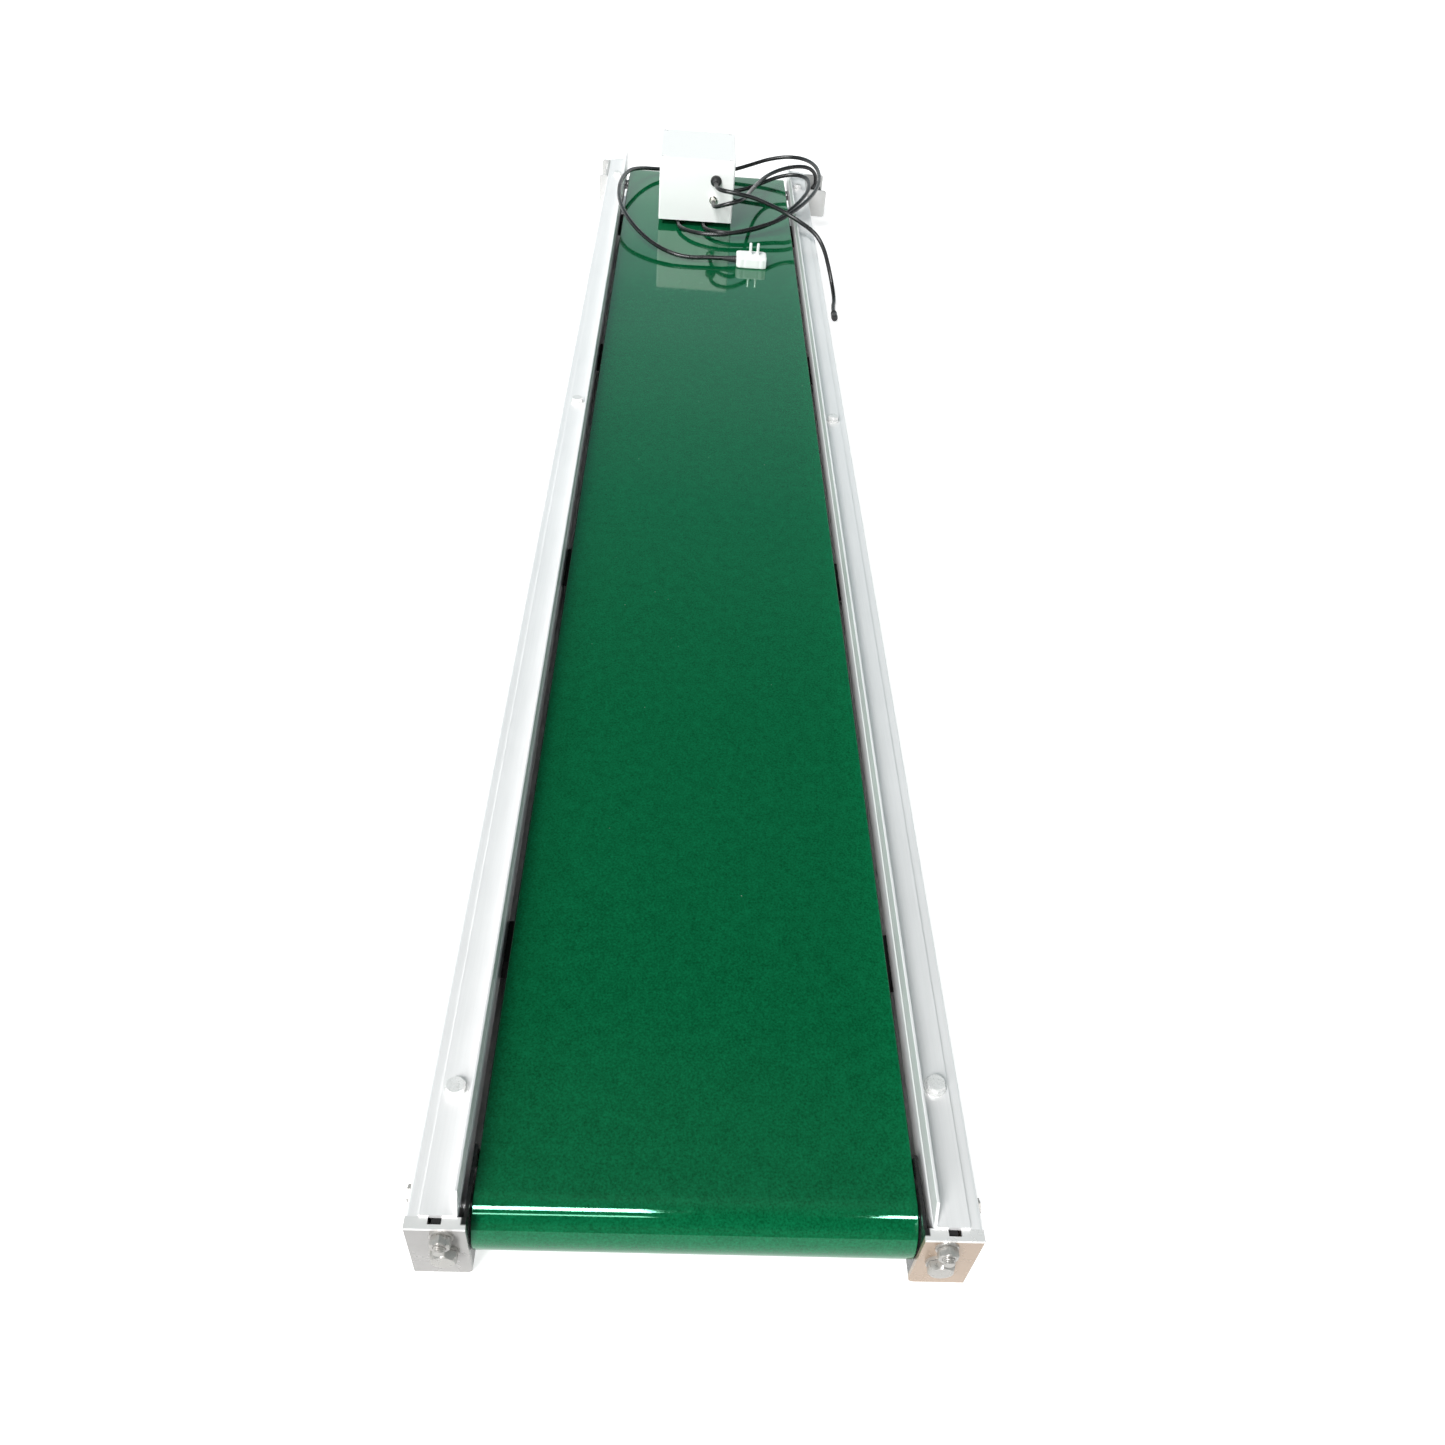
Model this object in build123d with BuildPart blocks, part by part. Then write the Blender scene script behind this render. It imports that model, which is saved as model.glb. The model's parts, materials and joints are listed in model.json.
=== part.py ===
"""Belt conveyor section: a flat belt on a slider bed between two folded side rails.

Frame: X across the belt, Y along it (tail end at -Y, drive end at +Y), Z up, in mm.
The origin is on the floor plane, midway between the four leg holes in the rails.
"""
from build123d import *
import math
import os

os.makedirs("parts", exist_ok=True)

# ---------------------------------------------------------------- driving sizes
BELT_WIDTH = 300.0
BELT_T = 2.0
BELT_SUNK = 6.0            # carrying surface below the rails' top
ROLLER_DIA = 50.0
DRUM_GAP = 0.3             # between a drum and the inside of the belt
BELT_CENTRES = 2014.0      # tail axis to drive axis

RAIL_HEIGHT = 70.0
RAIL_DEPTH = 34.0          # across the rail, inner face to outer face
RAIL_T = 2.0
SIDE_GAP = 7.0             # belt edge to the rail's inner face
LIP_CLEARANCE = 1.3        # tail axle to the rail's turned-down inner edge
BOTTOM_LIP = 12.0
BEND_R = 2.5

GUARD_T = 2.0
GUARD_LEG = 25.0
GUARD_LIP = 19.0           # height of the lip above the rail's top
GUARD_END_CUT = 9.0        # length of the slanted corner of the lip

END_CAP = 8.0              # front plate's face to the rail's end
PLATE_T = 2.5
END_GAP = 1.0              # belt edge to the end bracket's inner flange
INNER_FLANGE = 57.0
TAIL_INSET = 30.0          # front plate's face to the tail axis
DRIVE_INSET = 36.0         # drive axis to the rail's far end
TAKE_UP = 12.0             # travel of the tail axle
SLOT_WIDTH = 9.0

AXLE_DIA = 20.0
SHAFT_DIA = 17.0
RUNNING = 0.05             # radial clearance of a running fit
BEARING_SEAT = 12.0
DRUM_SHORT = 4.0           # drum face narrower than the belt

BED_T = 2.0
BED_OVERHANG = 0.75        # bed edge beyond the belt edge
CROSS_WIDTH = 40.0
CROSS_HEIGHT = 24.0
CROSS_T = 2.5
CROSS_INSET = 236.0        # rail end to the outer cross members
BED_WEB = 18.0             # slider bed's top to the cross members' top

BRACKET_T = 3.0
BRACKET_LENGTH = 90.0
BRACKET_DROP = 14.7        # drive axis to the bracket's lower edge
BRACKET_REACH = {"left": 12.0, "right": 35.0}   # flanges stand out beyond the web

BOX_WIDTH = 130.0
BOX_DEPTH = 155.0
BOX_LIFT = 10.0
CASE_HEIGHT = 90.0
LID_HEIGHT = 13.0
BOX_WALL = 2.5
BOX_CENTRE_X = -22.0
BOX_SETBACK = 272.0        # drive axis to the box's front face
PLINTH_INSET = 34.0        # case front to plinth front
BOARD_GAP = 8.0

CORD_DIA = 7.0
LEG_INSET = 136.0          # rail end to the leg holes
LEG_HOLE_DIA = 9.0

# guard bolts: tail end and drive end as insets from the rail's ends, the middle one as a place
GUARD_BOLT_INSET = {"left": 89.0, "right": 102.0}
GUARD_BOLT_MIDDLE = {"left": 52.0, "right": 45.0}
GUARD_BOLT_FAR_INSET = 96.0

# ISO metric fasteners: diameter, across flats, head, nut, washer
M10 = {"d": 10.0, "af": 17.0, "head": 6.4, "nut": 8.0, "washer": 20.0, "washer_t": 2.0}
M8 = {"d": 8.0, "af": 13.0, "head": 5.3, "nut": 6.8, "washer": 17.0, "washer_t": 1.6}
M6 = {"d": 6.0, "af": 10.0, "head": 4.0, "nut": 5.0, "washer": 12.0, "washer_t": 1.6}
HOLE_CLEARANCE = 0.5       # radial, bolt to clearance hole
THREAD_CLEARANCE = 0.05    # radial, bolt to nut

# ---------------------------------------------------------------- worked-out places
SIDES = (("left", -1), ("right", 1))
belt_half = BELT_WIDTH / 2
drum_r = ROLLER_DIA / 2
belt_inner_r = drum_r + DRUM_GAP
belt_outer_r = belt_inner_r + BELT_T
belt_top = RAIL_HEIGHT - BELT_SUNK
axis_z = belt_top - belt_outer_r
top_lip = RAIL_HEIGHT - axis_z - AXLE_DIA / 2 - LIP_CLEARANCE
rail_in = belt_half + SIDE_GAP
rail_out = rail_in + RAIL_DEPTH
web_in = rail_out - RAIL_T
rail_end = (TAIL_INSET - END_CAP + BELT_CENTRES + DRIVE_INSET) / 2
plate_front = -(rail_end + END_CAP)
plate_back = plate_front + PLATE_T
tail_y = plate_front + TAIL_INSET
drive_y = tail_y + BELT_CENTRES
plate_in = belt_half + END_GAP
tension_x = (plate_in + rail_out) / 2 - 4.0
flange_z = RAIL_HEIGHT - PLATE_T
stud_z = flange_z - 7.3
bed_top = belt_top - BELT_T
cross_top = bed_top - BED_WEB
cross_bottom = cross_top - CROSS_HEIGHT
cross_end = rail_end - CROSS_INSET
cross_ys = (-cross_end, -round(cross_end / 3), round(cross_end / 3), cross_end)
bracket_bottom = axis_z - BRACKET_DROP
leg_hole_x = (rail_in + rail_out) / 2
leg_hole_y = rail_end - LEG_INSET
guard_hole_x = rail_in + 0.6 * GUARD_LEG
guard_bolt_ys = {
    side: (GUARD_BOLT_INSET[side] - rail_end, GUARD_BOLT_MIDDLE[side], rail_end - GUARD_BOLT_FAR_INSET)
    for side in ("left", "right")
}
guard_top = RAIL_HEIGHT + GUARD_T
tongue_x = web_in - PLATE_T
axle_end = tongue_x - M6["nut"] - 3.5
drum_face = BELT_WIDTH - DRUM_SHORT
drum_half = drum_face / 2
box_front_y = drive_y - BOX_SETBACK
box_front_z = belt_top + BOX_LIFT
case_top = box_front_z + CASE_HEIGHT
box_mid_y = box_front_y + BOX_DEPTH / 2
plinth_front = box_front_y + PLINTH_INSET


# ---------------------------------------------------------------- helpers
def save(piece, name):
    """Name a finished part and write it."""
    piece.part.label = name
    export_step(piece.part, f"parts/{name}.step")


def across(x, y, z):
    """Place along the X axis at a point, for pins and holes across the frame."""
    return Location((x, y, z), (0, 90, 0))


def along(x, y, z):
    """Place along the Y axis at a point, for pins and holes along the frame."""
    return Location((x, y, z), (90, 0, 0))


def add_hex(seat, out, size, height, bore=0.0):
    """Add a hexagon standing on a seat, with an optional bore."""
    face = Plane(origin=seat, x_dir=(0, 0, 1) if abs(out[2]) < 0.5 else (1, 0, 0), z_dir=out)
    with BuildSketch(face) as outline:
        RegularPolygon(radius=size["af"] / 2, side_count=6, major_radius=False)
        if bore:
            Circle(bore, mode=Mode.SUBTRACT)
    extrude(outline.sketch, amount=height)


def add_shank(start, out, radius, length):
    """Add a plain round shank from a point along a direction."""
    with BuildSketch(Plane(origin=start, z_dir=out)) as section:
        Circle(radius)
    extrude(section.sketch, amount=length)


def add_ring(seat, out, outer, inner, height):
    """Add a flat ring, such as a washer, standing on a seat."""
    with BuildSketch(Plane(origin=seat, z_dir=out)) as section:
        Circle(outer)
        Circle(inner, mode=Mode.SUBTRACT)
    extrude(section.sketch, amount=height)


def clearance(size):
    """Radius of the clearance hole for a fastener."""
    return size["d"] / 2 + HOLE_CLEARANCE


# bolts through the rail webs, as (y, z) places
cross_bolt_places = [(y + dy, (cross_top + cross_bottom) / 2) for y in cross_ys for dy in (-12.0, 12.0)]
tongue_bolt_places = [(tail_y, axis_z - 20.0), (tail_y, axis_z + 18.0)]
bracket_bolt_places = [
    (drive_y + dy, z) for dy in (-45.0, 21.0) for z in (axis_z - 6.7, RAIL_HEIGHT - 10.0)
]


# ---------------------------------------------------------------- side rails and guards
for side, s in SIDES:
    with BuildPart() as side_rail:
        with BuildSketch(Plane.XZ):
            with Locations((s * (rail_in + rail_out) / 2, RAIL_HEIGHT / 2)):
                RectangleRounded(RAIL_DEPTH, RAIL_HEIGHT, BEND_R)
                Rectangle(RAIL_DEPTH - 2 * RAIL_T, RAIL_HEIGHT - 2 * RAIL_T, mode=Mode.SUBTRACT)
            mouth = RAIL_HEIGHT - top_lip - BOTTOM_LIP
            with Locations((s * (rail_in + RAIL_T / 2), BOTTOM_LIP + mouth / 2)):
                Rectangle(RAIL_T + 0.01, mouth, mode=Mode.SUBTRACT)
        extrude(amount=rail_end, both=True)
        with Locations(*[(s * guard_hole_x, y, RAIL_HEIGHT - RAIL_T / 2) for y in guard_bolt_ys[side]]):
            Cylinder(clearance(M8), 2 * RAIL_T, mode=Mode.SUBTRACT)
        with Locations(*[(s * leg_hole_x, y, RAIL_T / 2) for y in (-leg_hole_y, leg_hole_y)]):
            Cylinder(LEG_HOLE_DIA / 2, 2 * RAIL_T, mode=Mode.SUBTRACT)
        web_places = cross_bolt_places + tongue_bolt_places + bracket_bolt_places
        with Locations(*[across(s * (rail_out - RAIL_T / 2), y, z) for y, z in web_places]):
            Cylinder(clearance(M6), 2 * RAIL_T, mode=Mode.SUBTRACT)
        with Locations(across(s * (rail_out - RAIL_T / 2), drive_y, axis_z)):
            Cylinder(SHAFT_DIA / 2 + 0.7, 2 * RAIL_T, mode=Mode.SUBTRACT)
    save(side_rail, f"side_rail_{side}")

    with BuildPart() as side_guard:
        with BuildSketch(Plane.XZ):
            with Locations((s * (rail_in + GUARD_LEG / 2), RAIL_HEIGHT + GUARD_T / 2)):
                Rectangle(GUARD_LEG, GUARD_T)
            with Locations((s * (rail_in + GUARD_T / 2), RAIL_HEIGHT + GUARD_LIP / 2)):
                Rectangle(GUARD_T, GUARD_LIP)
        extrude(amount=rail_end, both=True)
        with BuildSketch(Plane.YZ.offset(s * rail_in)):
            for e in (-1, 1):
                with BuildLine():
                    Polyline(
                        (e * rail_end, guard_top),
                        (e * rail_end, RAIL_HEIGHT + GUARD_LIP + 1.0),
                        (e * (rail_end - GUARD_END_CUT), RAIL_HEIGHT + GUARD_LIP + 1.0),
                        (e * (rail_end - GUARD_END_CUT), RAIL_HEIGHT + GUARD_LIP),
                        close=True,
                    )
                make_face()
        extrude(amount=2 * GUARD_T, both=True, mode=Mode.SUBTRACT)
        with Locations(*[(s * guard_hole_x, y, RAIL_HEIGHT + GUARD_T / 2) for y in guard_bolt_ys[side]]):
            Cylinder(clearance(M8), 2 * GUARD_T, mode=Mode.SUBTRACT)
    save(side_guard, f"side_guard_{side}")

guard_bolt_places = [(s * guard_hole_x, y) for side, s in SIDES for y in guard_bolt_ys[side]]
washer_top = guard_top + M8["washer_t"]

with BuildPart() as guard_washers:
    for x, y in guard_bolt_places:
        add_ring((x, y, guard_top), (0, 0, 1), M8["washer"] / 2, clearance(M8), M8["washer_t"])
save(guard_washers, "guard_washers")

with BuildPart() as guard_bolts:
    for x, y in guard_bolt_places:
        add_hex((x, y, washer_top), (0, 0, 1), M8, M8["head"])
        add_shank((x, y, washer_top), (0, 0, -1), M8["d"] / 2, 16.0)
save(guard_bolts, "guard_bolts")

with BuildPart() as guard_nuts:
    for x, y in guard_bolt_places:
        under = RAIL_HEIGHT - RAIL_T
        add_hex((x, y, under), (0, 0, -1), M8, M8["nut"], M8["d"] / 2 + THREAD_CLEARANCE)
save(guard_nuts, "guard_nuts")


# ---------------------------------------------------------------- tail end brackets
for side, s in SIDES:
    plate_mid = s * (plate_in + rail_out) / 2
    plate_width = rail_out - plate_in
    with BuildPart() as end_bracket:
        with BuildSketch(Plane.XZ.offset(-plate_back)):
            with Locations((plate_mid, RAIL_HEIGHT / 2)):
                front = Rectangle(plate_width, RAIL_HEIGHT)
            inner_low = front.vertices().sort_by(lambda v: s * v.X + v.Y)[0]
            fillet(inner_low, 5.0)
        extrude(amount=PLATE_T)
        with BuildSketch(Plane.XY.offset(flange_z)):
            with Locations((plate_mid, (plate_back - rail_end) / 2)):
                Rectangle(plate_width, END_CAP - PLATE_T)
            with Locations((tension_x * s + s * 4.5, (plate_back + 0.5 - rail_end) / 2)):
                Rectangle(SLOT_WIDTH, END_CAP - PLATE_T - 0.5, mode=Mode.SUBTRACT)
        extrude(amount=PLATE_T)
        with BuildSketch(Plane.YZ.offset(s * (plate_in + PLATE_T / 2))):
            with Locations((plate_back + INNER_FLANGE / 2, (5.0 + flange_z) / 2)):
                Rectangle(INNER_FLANGE, flange_z - 5.0)
            with Locations((tail_y + TAKE_UP / 2, axis_z)):
                SlotCenterToCenter(TAKE_UP + 1.0, AXLE_DIA + 0.6, mode=Mode.SUBTRACT)
        extrude(amount=PLATE_T / 2, both=True)
        with BuildSketch(Plane.YZ.offset(s * (rail_out - PLATE_T / 2))):
            with Locations(((plate_back - rail_end) / 2, flange_z / 2)):
                Rectangle(END_CAP - PLATE_T, flange_z)
        extrude(amount=PLATE_T / 2, both=True)
        with BuildSketch(Plane.YZ.offset(s * (tongue_x + PLATE_T / 2))):
            with Locations((plate_back + 25.0, RAIL_HEIGHT / 2)):
                Rectangle(50.0, RAIL_HEIGHT - 8.0)
        extrude(amount=PLATE_T / 2, both=True)
        with Locations(along(s * tension_x, plate_front + PLATE_T / 2, axis_z)):
            Cylinder(clearance(M10), 2 * PLATE_T, mode=Mode.SUBTRACT)
        with Locations(along(s * tension_x, plate_front + PLATE_T / 2, stud_z)):
            Cylinder(clearance(M8), 2 * PLATE_T, mode=Mode.SUBTRACT)
        with Locations(*[across(s * (tongue_x + PLATE_T / 2), y, z) for y, z in tongue_bolt_places]):
            Cylinder(clearance(M6), 2 * PLATE_T, mode=Mode.SUBTRACT)
    save(end_bracket, f"end_bracket_{side}")

ANCHOR_DEPTH = 12.0
ANCHOR_WIDTH = 14.0
anchor_low = axis_z + M10["d"] / 2 + 9.0

with BuildPart() as anchor_blocks:
    for side, s in SIDES:
        with BuildSketch(Plane.XZ.offset(-plate_back)):
            with Locations((s * tension_x, (anchor_low + flange_z - 0.5) / 2)):
                Rectangle(ANCHOR_WIDTH, flange_z - 0.5 - anchor_low)
            with Locations((s * tension_x, stud_z)):
                Circle(M8["d"] / 2 + THREAD_CLEARANCE, mode=Mode.SUBTRACT)
        extrude(amount=-ANCHOR_DEPTH)
save(anchor_blocks, "anchor_blocks")

with BuildPart() as anchor_washers:
    for side, s in SIDES:
        add_ring((s * tension_x, plate_front, stud_z), (0, -1, 0), 8.0, clearance(M8), M8["washer_t"])
save(anchor_washers, "anchor_washers")

nut_seat = plate_front - M8["washer_t"]

with BuildPart() as anchor_nuts:
    for side, s in SIDES:
        seat = (s * tension_x, nut_seat, stud_z)
        add_hex(seat, (0, -1, 0), M8, M8["nut"], M8["d"] / 2 + THREAD_CLEARANCE)
save(anchor_nuts, "anchor_nuts")

with BuildPart() as anchor_studs:
    for side, s in SIDES:
        stud_length = ANCHOR_DEPTH + PLATE_T + M8["washer_t"] + M8["nut"] + 2.5
        add_shank((s * tension_x, plate_back + ANCHOR_DEPTH, stud_z), (0, -1, 0), M8["d"] / 2, stud_length)
save(anchor_studs, "anchor_studs")

with BuildPart() as tongue_bolts:
    for side, s in SIDES:
        for y, z in tongue_bolt_places:
            add_hex((s * rail_out, y, z), (s, 0, 0), M6, M6["head"])
            add_shank((s * rail_out, y, z), (-s, 0, 0), M6["d"] / 2, RAIL_T + PLATE_T + M6["nut"] + 1.5)
save(tongue_bolts, "tongue_bolts")

with BuildPart() as tongue_nuts:
    for side, s in SIDES:
        for y, z in tongue_bolt_places:
            add_hex((s * tongue_x, y, z), (-s, 0, 0), M6, M6["nut"], M6["d"] / 2 + THREAD_CLEARANCE)
save(tongue_nuts, "tongue_nuts")


# ---------------------------------------------------------------- tail roller and take-up
with BuildPart() as tail_axle:
    with BuildSketch(Plane.YZ.offset(-axle_end)):
        with Locations((tail_y, axis_z)):
            Circle(AXLE_DIA / 2)
    extrude(amount=2 * axle_end)
    with Locations(*[along(s * tension_x, tail_y, axis_z) for side, s in SIDES]):
        Cylinder(M10["d"] / 2 + RUNNING, 2 * AXLE_DIA, mode=Mode.SUBTRACT)
    chamfer(tail_axle.edges().filter_by(GeomType.CIRCLE).group_by(Axis.X)[0], 1.0)
    chamfer(tail_axle.edges().filter_by(GeomType.CIRCLE).group_by(Axis.X)[-1], 1.0)
save(tail_axle, "tail_axle")

TAIL_SHELL_WALL = 2.0
tail_bearing_r = drum_r - 2 * TAIL_SHELL_WALL

with BuildPart() as tail_roller_shell:
    with BuildSketch(Plane.YZ.offset(-drum_half)):
        with Locations((tail_y, axis_z)):
            Circle(drum_r)
            Circle(drum_r - TAIL_SHELL_WALL, mode=Mode.SUBTRACT)
    extrude(amount=drum_face)
save(tail_roller_shell, "tail_roller_shell")

with BuildPart() as tail_roller_cups:
    for side, s in SIDES:
        cup_out = (s * drum_half, tail_y, axis_z)
        add_ring(cup_out, (-s, 0, 0), drum_r - TAIL_SHELL_WALL, tail_bearing_r, BEARING_SEAT + 2.0)
        cup_in = (s * (drum_half - BEARING_SEAT - 2.0), tail_y, axis_z)
        add_ring(cup_in, (-s, 0, 0), drum_r - TAIL_SHELL_WALL, AXLE_DIA / 2 + 2.0, 3.0)
save(tail_roller_cups, "tail_roller_cups")

with BuildPart() as tail_bearings:
    for side, s in SIDES:
        bearing_out = (s * (drum_half - 2.0), tail_y, axis_z)
        add_ring(bearing_out, (-s, 0, 0), tail_bearing_r, AXLE_DIA / 2 + RUNNING, BEARING_SEAT)
save(tail_bearings, "tail_bearings")

with BuildPart() as tension_washers:
    for side, s in SIDES:
        seat = (s * tension_x, plate_front, axis_z)
        add_ring(seat, (0, -1, 0), M10["washer"] / 2, M10["d"] / 2 + RUNNING, M10["washer_t"])
save(tension_washers, "tension_washers")

for side, s in SIDES:
    head_seat = (s * tension_x, plate_front - M10["washer_t"], axis_z)
    with BuildPart() as tension_bolt:
        add_hex(head_seat, (0, -1, 0), M10, M10["head"])
        bolt_length = M10["washer_t"] + TAIL_INSET + AXLE_DIA / 2 + TAKE_UP + 6.0
        add_shank(head_seat, (0, 1, 0), M10["d"] / 2, bolt_length)
    save(tension_bolt, f"tension_bolt_{side}")


# ---------------------------------------------------------------- belt, bed and cross members
with BuildPart() as conveyor_belt:
    with BuildSketch(Plane.YZ):
        with Locations(((tail_y + drive_y) / 2, axis_z)):
            SlotCenterToCenter(BELT_CENTRES, 2 * belt_outer_r)
            SlotCenterToCenter(BELT_CENTRES, 2 * belt_inner_r, mode=Mode.SUBTRACT)
    extrude(amount=belt_half, both=True)
save(conveyor_belt, "conveyor_belt")

bed_start = tail_y + TAKE_UP + drum_r + 7.0
bed_end = drive_y - drum_r - 5.0
bed_half = belt_half + BED_OVERHANG

with BuildPart() as slider_bed:
    with BuildSketch(Plane.XZ.offset(-bed_start)):
        with Locations((0, bed_top - BED_T / 2)):
            Rectangle(2 * bed_half, BED_T)
        with Locations(*[(s * (bed_half - BED_T / 2), (bed_top + cross_top) / 2) for side, s in SIDES]):
            Rectangle(BED_T, bed_top - cross_top)
    extrude(amount=-(bed_end - bed_start))
save(slider_bed, "slider_bed")

END_PLATE_T = 3.0
cross_mid = (cross_top + cross_bottom) / 2

with BuildPart() as cross_members:
    for y in cross_ys:
        with BuildSketch(Plane.YZ.offset(-web_in)):
            with Locations((y, cross_mid)):
                Rectangle(CROSS_WIDTH, CROSS_HEIGHT)
            with Locations((y, cross_mid - CROSS_T)):
                Rectangle(CROSS_WIDTH - 2 * CROSS_T, CROSS_HEIGHT, mode=Mode.SUBTRACT)
        extrude(amount=2 * web_in)
        for side, s in SIDES:
            with BuildSketch(Plane.YZ.offset(s * (web_in - END_PLATE_T / 2))):
                with Locations((y, cross_mid)):
                    Rectangle(CROSS_WIDTH, CROSS_HEIGHT)
            extrude(amount=END_PLATE_T / 2, both=True)
    for side, s in SIDES:
        with Locations(*[across(s * web_in, y, z) for y, z in cross_bolt_places]):
            Cylinder(clearance(M6), 3 * END_PLATE_T, mode=Mode.SUBTRACT)
save(cross_members, "cross_members")

with BuildPart() as cross_member_bolts:
    for side, s in SIDES:
        for y, z in cross_bolt_places:
            add_hex((s * rail_out, y, z), (s, 0, 0), M6, M6["head"])
            add_shank((s * rail_out, y, z), (-s, 0, 0), M6["d"] / 2, RAIL_T + END_PLATE_T + M6["nut"] + 1.5)
save(cross_member_bolts, "cross_member_bolts")

with BuildPart() as cross_member_nuts:
    for side, s in SIDES:
        for y, z in cross_bolt_places:
            seat = (s * (web_in - END_PLATE_T), y, z)
            add_hex(seat, (-s, 0, 0), M6, M6["nut"], M6["d"] / 2 + THREAD_CLEARANCE)
save(cross_member_nuts, "cross_member_nuts")


# ---------------------------------------------------------------- drive drum and its brackets
DRUM_WALL = 3.0
COVER_T = 10.0
cover_r = drum_r - DRUM_WALL
drum_bearing_r = drum_r - 7.5
motor_left = -(belt_half - 60.0)
motor_right = 20.0
gearbox_right = belt_half - 50.0
web_out = rail_out + BRACKET_T
shaft_left_end = web_out + 10.0

with BuildPart() as drive_drum_shell:
    with BuildSketch(Plane.YZ.offset(-drum_half)):
        with Locations((drive_y, axis_z)):
            Circle(drum_r)
            Circle(cover_r, mode=Mode.SUBTRACT)
    extrude(amount=drum_face)
save(drive_drum_shell, "drive_drum_shell")

with BuildPart() as drum_covers:
    for side, s in SIDES:
        add_ring((s * drum_half, drive_y, axis_z), (-s, 0, 0), cover_r, drum_bearing_r, COVER_T)
save(drum_covers, "drum_covers")

with BuildPart() as drum_bearings:
    for side, s in SIDES:
        cover_face = (s * drum_half, drive_y, axis_z)
        add_ring(cover_face, (-s, 0, 0), drum_bearing_r, SHAFT_DIA / 2 + RUNNING, COVER_T)
save(drum_bearings, "drum_bearings")

with BuildPart() as drum_motor:
    add_shank((motor_left, drive_y, axis_z), (1, 0, 0), cover_r - 3.0, motor_right - motor_left)
save(drum_motor, "drum_motor")

with BuildPart() as drum_gearbox:
    add_shank((motor_right, drive_y, axis_z), (1, 0, 0), cover_r - 2.0, gearbox_right - motor_right)
save(drum_gearbox, "drum_gearbox")

with BuildPart() as drum_shaft_left:
    add_shank((-shaft_left_end, drive_y, axis_z), (1, 0, 0), SHAFT_DIA / 2, shaft_left_end + motor_left)
    chamfer(drum_shaft_left.edges().group_by(Axis.X)[0], 1.0)
save(drum_shaft_left, "drum_shaft_left")

with BuildPart() as drum_shaft_right:
    add_shank((gearbox_right, drive_y, axis_z), (1, 0, 0), SHAFT_DIA / 2, web_out - gearbox_right)
save(drum_shaft_right, "drum_shaft_right")

with BuildPart() as shaft_nut:
    seat = (-web_out, drive_y, axis_z)
    add_hex(seat, (-1, 0, 0), {"af": 27.0}, 6.0, SHAFT_DIA / 2 + THREAD_CLEARANCE)
save(shaft_nut, "shaft_nut")

bracket_start = drive_y - 59.0
bracket_end = bracket_start + BRACKET_LENGTH
bracket_height = RAIL_HEIGHT - bracket_bottom
bracket_mid_z = (RAIL_HEIGHT + bracket_bottom) / 2

for side, s in SIDES:
    reach = BRACKET_REACH[side]
    with BuildPart() as drive_bracket:
        with BuildSketch(Plane.YZ.offset(s * (rail_out + BRACKET_T / 2))):
            with Locations(((bracket_start + bracket_end) / 2, bracket_mid_z)):
                Rectangle(BRACKET_LENGTH, bracket_height)
            with Locations((drive_y, axis_z)):
                Circle(SHAFT_DIA / 2 + 0.25, mode=Mode.SUBTRACT)
            with Locations(*bracket_bolt_places):
                Circle(clearance(M6), mode=Mode.SUBTRACT)
        extrude(amount=BRACKET_T / 2, both=True)
        for y in (bracket_start, bracket_end - BRACKET_T):
            with BuildSketch(Plane.XZ.offset(-y)):
                with Locations((s * (web_out + reach / 2), bracket_mid_z)):
                    flange = Rectangle(reach, bracket_height)
                outer = flange.vertices().sort_by(lambda v: s * v.X)[-2:]
                fillet(outer, 4.0)
            extrude(amount=-BRACKET_T)
    save(drive_bracket, f"drive_bracket_{side}")

with BuildPart() as bracket_bolts:
    for side, s in SIDES:
        for y, z in bracket_bolt_places:
            add_hex((s * web_out, y, z), (s, 0, 0), M6, M6["head"])
            add_shank((s * web_out, y, z), (-s, 0, 0), M6["d"] / 2, BRACKET_T + RAIL_T + M6["nut"] + 1.5)
save(bracket_bolts, "bracket_bolts")

with BuildPart() as bracket_nuts:
    for side, s in SIDES:
        for y, z in bracket_bolt_places:
            add_hex((s * web_in, y, z), (-s, 0, 0), M6, M6["nut"], M6["d"] / 2 + THREAD_CLEARANCE)
save(bracket_nuts, "bracket_nuts")

TERMINAL_DEPTH = 30.0
TERMINAL_LENGTH = 28.0
terminal_top = bracket_bottom + 32.0
terminal_gland_x = web_out + 18.0

with BuildPart() as terminal_box:
    with BuildSketch(Plane.XY.offset(bracket_bottom)):
        with Locations((web_out + TERMINAL_DEPTH / 2, drive_y)):
            RectangleRounded(TERMINAL_DEPTH, TERMINAL_LENGTH, 2.0)
    extrude(amount=terminal_top - bracket_bottom)
save(terminal_box, "terminal_box")

with BuildPart() as terminal_gland:
    gland_seat = (terminal_gland_x, drive_y, terminal_top)
    add_hex(gland_seat, (0, 0, 1), {"af": 14.0}, 3.0)
    with BuildSketch(Plane.XY.offset(terminal_top + 3.0)):
        with Locations((terminal_gland_x, drive_y)):
            Circle(6.0)
    extrude(amount=5.0, taper=15.0)
save(terminal_gland, "terminal_gland")


# ---------------------------------------------------------------- control box
POST_R = 5.0
grommet_x = BOX_CENTRE_X + 33.0
grommet_z = box_front_z + 70.0
ring_x = BOX_CENTRE_X + 30.0
ring_z = box_front_z + 38.0
post_places = [
    (BOX_CENTRE_X + dx * (BOX_WIDTH / 2 - 7.0), box_mid_y + dy * (BOX_DEPTH / 2 - 7.0))
    for dx in (-1, 1) for dy in (-1, 1)
]

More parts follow.
